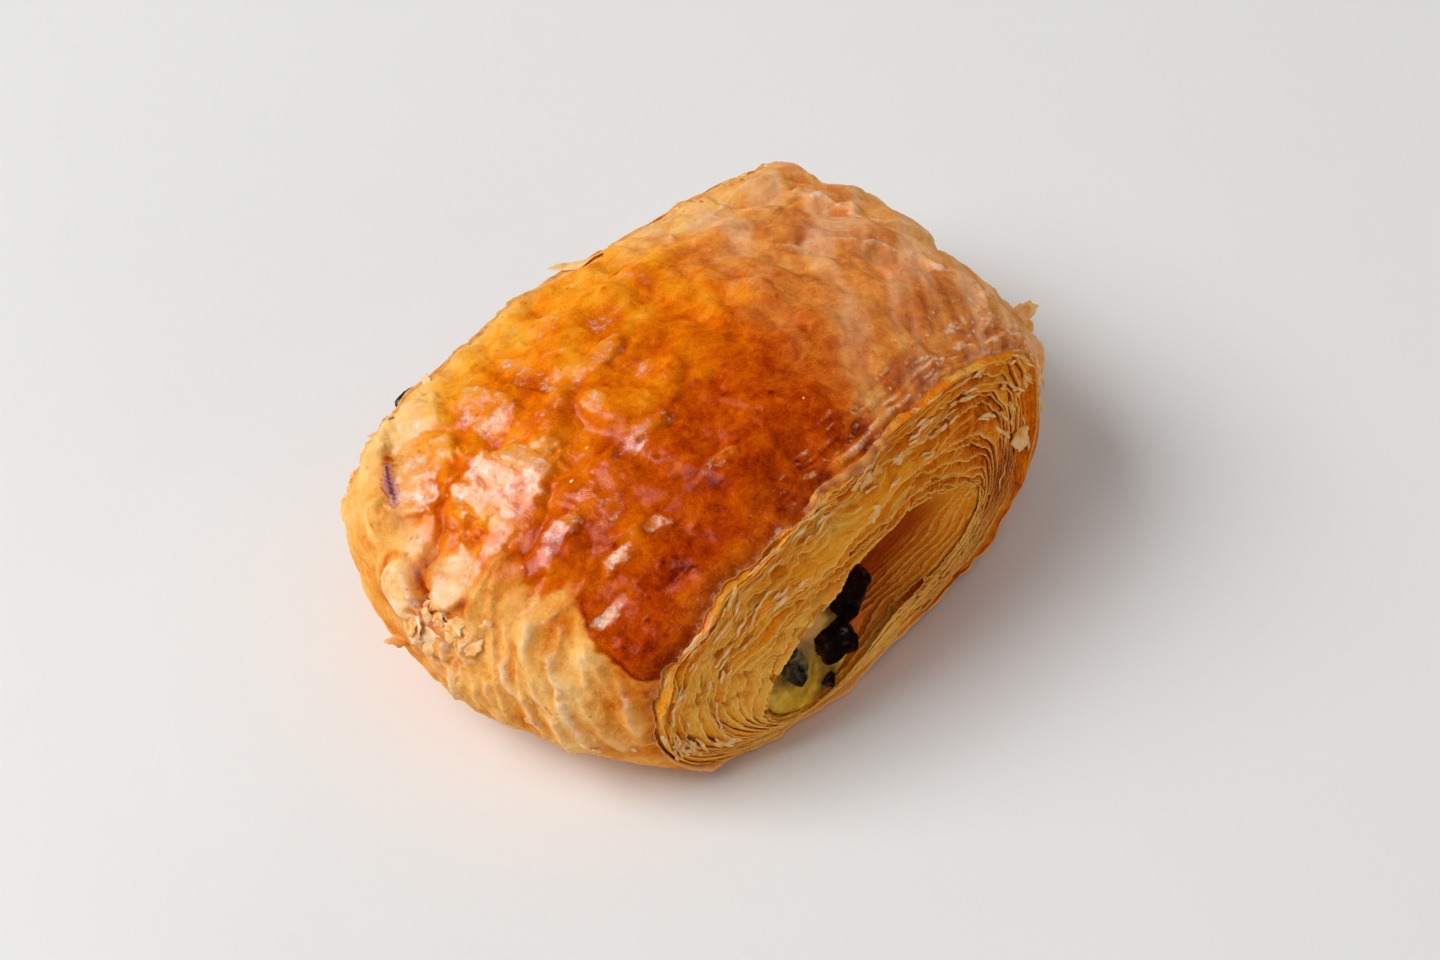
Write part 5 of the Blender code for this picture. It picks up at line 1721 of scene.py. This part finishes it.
# Each tongue's thickness, how far in from the rim it starts and how deep it lies there, in millimetres.
LAP_THICKNESS, LAP_ROOT, LAP_SINK = 0.22, 1.8, 0.45
row_pitch = np.linalg.norm(np.diff(base[:6], axis=0), axis=-1).mean()


def on_skin(turns, inward, way):
    """Points of the uneven skin and its normals, at angles in degrees and millimetres in from one rim."""
    skin, normals = (outer, base_normal) if way < 0 else (outer[::-1], base_normal[::-1])
    column = np.interp(turns, degree_grid[0], np.arange(ROUND_STEPS))
    row = np.clip(inward / row_pitch, 0, LENGTH_STEPS - 2)
    left, low = column.astype(int), row.astype(int)
    right, high = (left + 1) % ROUND_STEPS, low + 1
    across, up = (column - left)[..., None], (row - low)[..., None]
    lower = skin[low, left] * (1 - across) + skin[low, right] * across
    upper = skin[high, left] * (1 - across) + skin[high, right] * across
    return lower * (1 - up) + upper * up, normals[low, left]


def lap_sheet(start, reach, below, stand, seed, way):
    """A tongue of skin that hangs over the rim: u runs round the roll, and v out of the skin and down.

    At v = 0 it lies under the skin, a little in from the rim. It comes out near the rim and ends in a ragged
    edge, whose distance below the rim is nought at both ends of u. How far it stands off grows with v.
    """
    mouth = FRONT_MOUTH if way < 0 else BACK_MOUTH
    u = np.linspace(0, 1, LAP_STEPS)[:, None]
    v = np.concatenate([np.linspace(0, 1, LAP_ACROSS), np.linspace(1, 0, LAP_ACROSS)])[None]
    side = np.repeat([0.0, 1.0], LAP_ACROSS)[None]
    spot = np.stack(np.broadcast_arrays(u * reach * MM_PER_DEGREE, seed + 0 * v, 0 * u), -1)
    ragged = 1 + 0.45 * lattice_noise(spot, 4.0, seed) + 0.40 * lattice_noise(spot, 1.4, seed + 1)
    ends = np.clip(4 * u * (1 - u), 0, 1) ** 0.5
    away = -LAP_ROOT + (LAP_ROOT + below * ends * np.clip(ragged, 0.2, 2)) * v
    turns = start + reach * u + 0 * v
    skin, normal = on_skin(turns, np.maximum(-away, 0), way)
    angle = np.radians(turns)
    rim = cut_face(angle, 0.0, way, mouth)
    span = np.linalg.norm(cut_face(angle, 1.0, way, mouth) - rim, axis=-1)
    down = np.maximum(away, 0)
    hang = cut_face(angle, down / span, way, mouth) - rim
    out = np.where((away > 0)[..., None], np.array([0.0, way, 0.0]) + 0.5 * normal, normal)
    out = out / np.linalg.norm(out, axis=-1, keepdims=True)
    stands = 0.15 + stand * v * (0.7 + 0.6 * lattice_noise(spot, 5.0, seed + 2))
    rise = smooth_step(away, -LAP_ROOT, -0.3) * stands
    sink = LAP_SINK * (1 - smooth_step(away, -LAP_ROOT, -0.5))
    lift = rise * ends - sink - side * LAP_THICKNESS * ends
    points = skin + hang + out * lift[..., None]
    edge = smooth_step(v, 0.72, 1.0) * (0.5 + 0.5 * ends)
    order = slice(None, None, -1 if way > 0 else 1)
    return points[:, order], edge[:, order], spot[:, order]


def lapped_sheets():
    """Seeded tongues side by side along both rims, with their marks."""
    rng = np.random.default_rng(610)
    grids, edges, tones = [], [], []
    for way, count, first, last, tone_range in LAPPED_RIMS:
        for middle in np.linspace(first, last, count):
            reach, below, stand = rng.uniform(6, 20), rng.uniform(0.6, 3.4), rng.uniform(0.0, 0.5)
            seed = int(rng.integers(9000))
            start = middle - reach / 2 + rng.uniform(-3, 3)
            points, edge, spot = lap_sheet(start, reach, below, stand, seed, way)
            grids.append(points)
            edges.append(edge)
            tones.append(rng.uniform(*tone_range) + 0.24 * lattice_noise(spot, 2.0, seed + 3))
    edges, tones = np.array(edges), np.array(tones)
    marks = {name: 0 * edges for name in ("wash", "scorch", "gloss")}
    marks.update(tone=tones, film=0.9 * edges, veil=0.30 + 0 * edges)
    return join_grids("lapped_sheets", grids, skin_finish, marks)


laps = lapped_sheets()

# %% [markdown]
# ## Hand over the pieces
# Every piece rides on the one body of the row. The crust and both cut sides stand for the dough solid, and
# the custard and each piece of chocolate stand for their own solids.

# %% Bodies and replaced solids
dough_pieces = (crust, front_side, back_side, front_hollow, back_hollow, flakes, laps)
for piece in (*dough_pieces, custard, *chips.values()):
    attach(piece, "root")
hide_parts("dough")
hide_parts("custard")
for name, piece in chips.items():
    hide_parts(name)
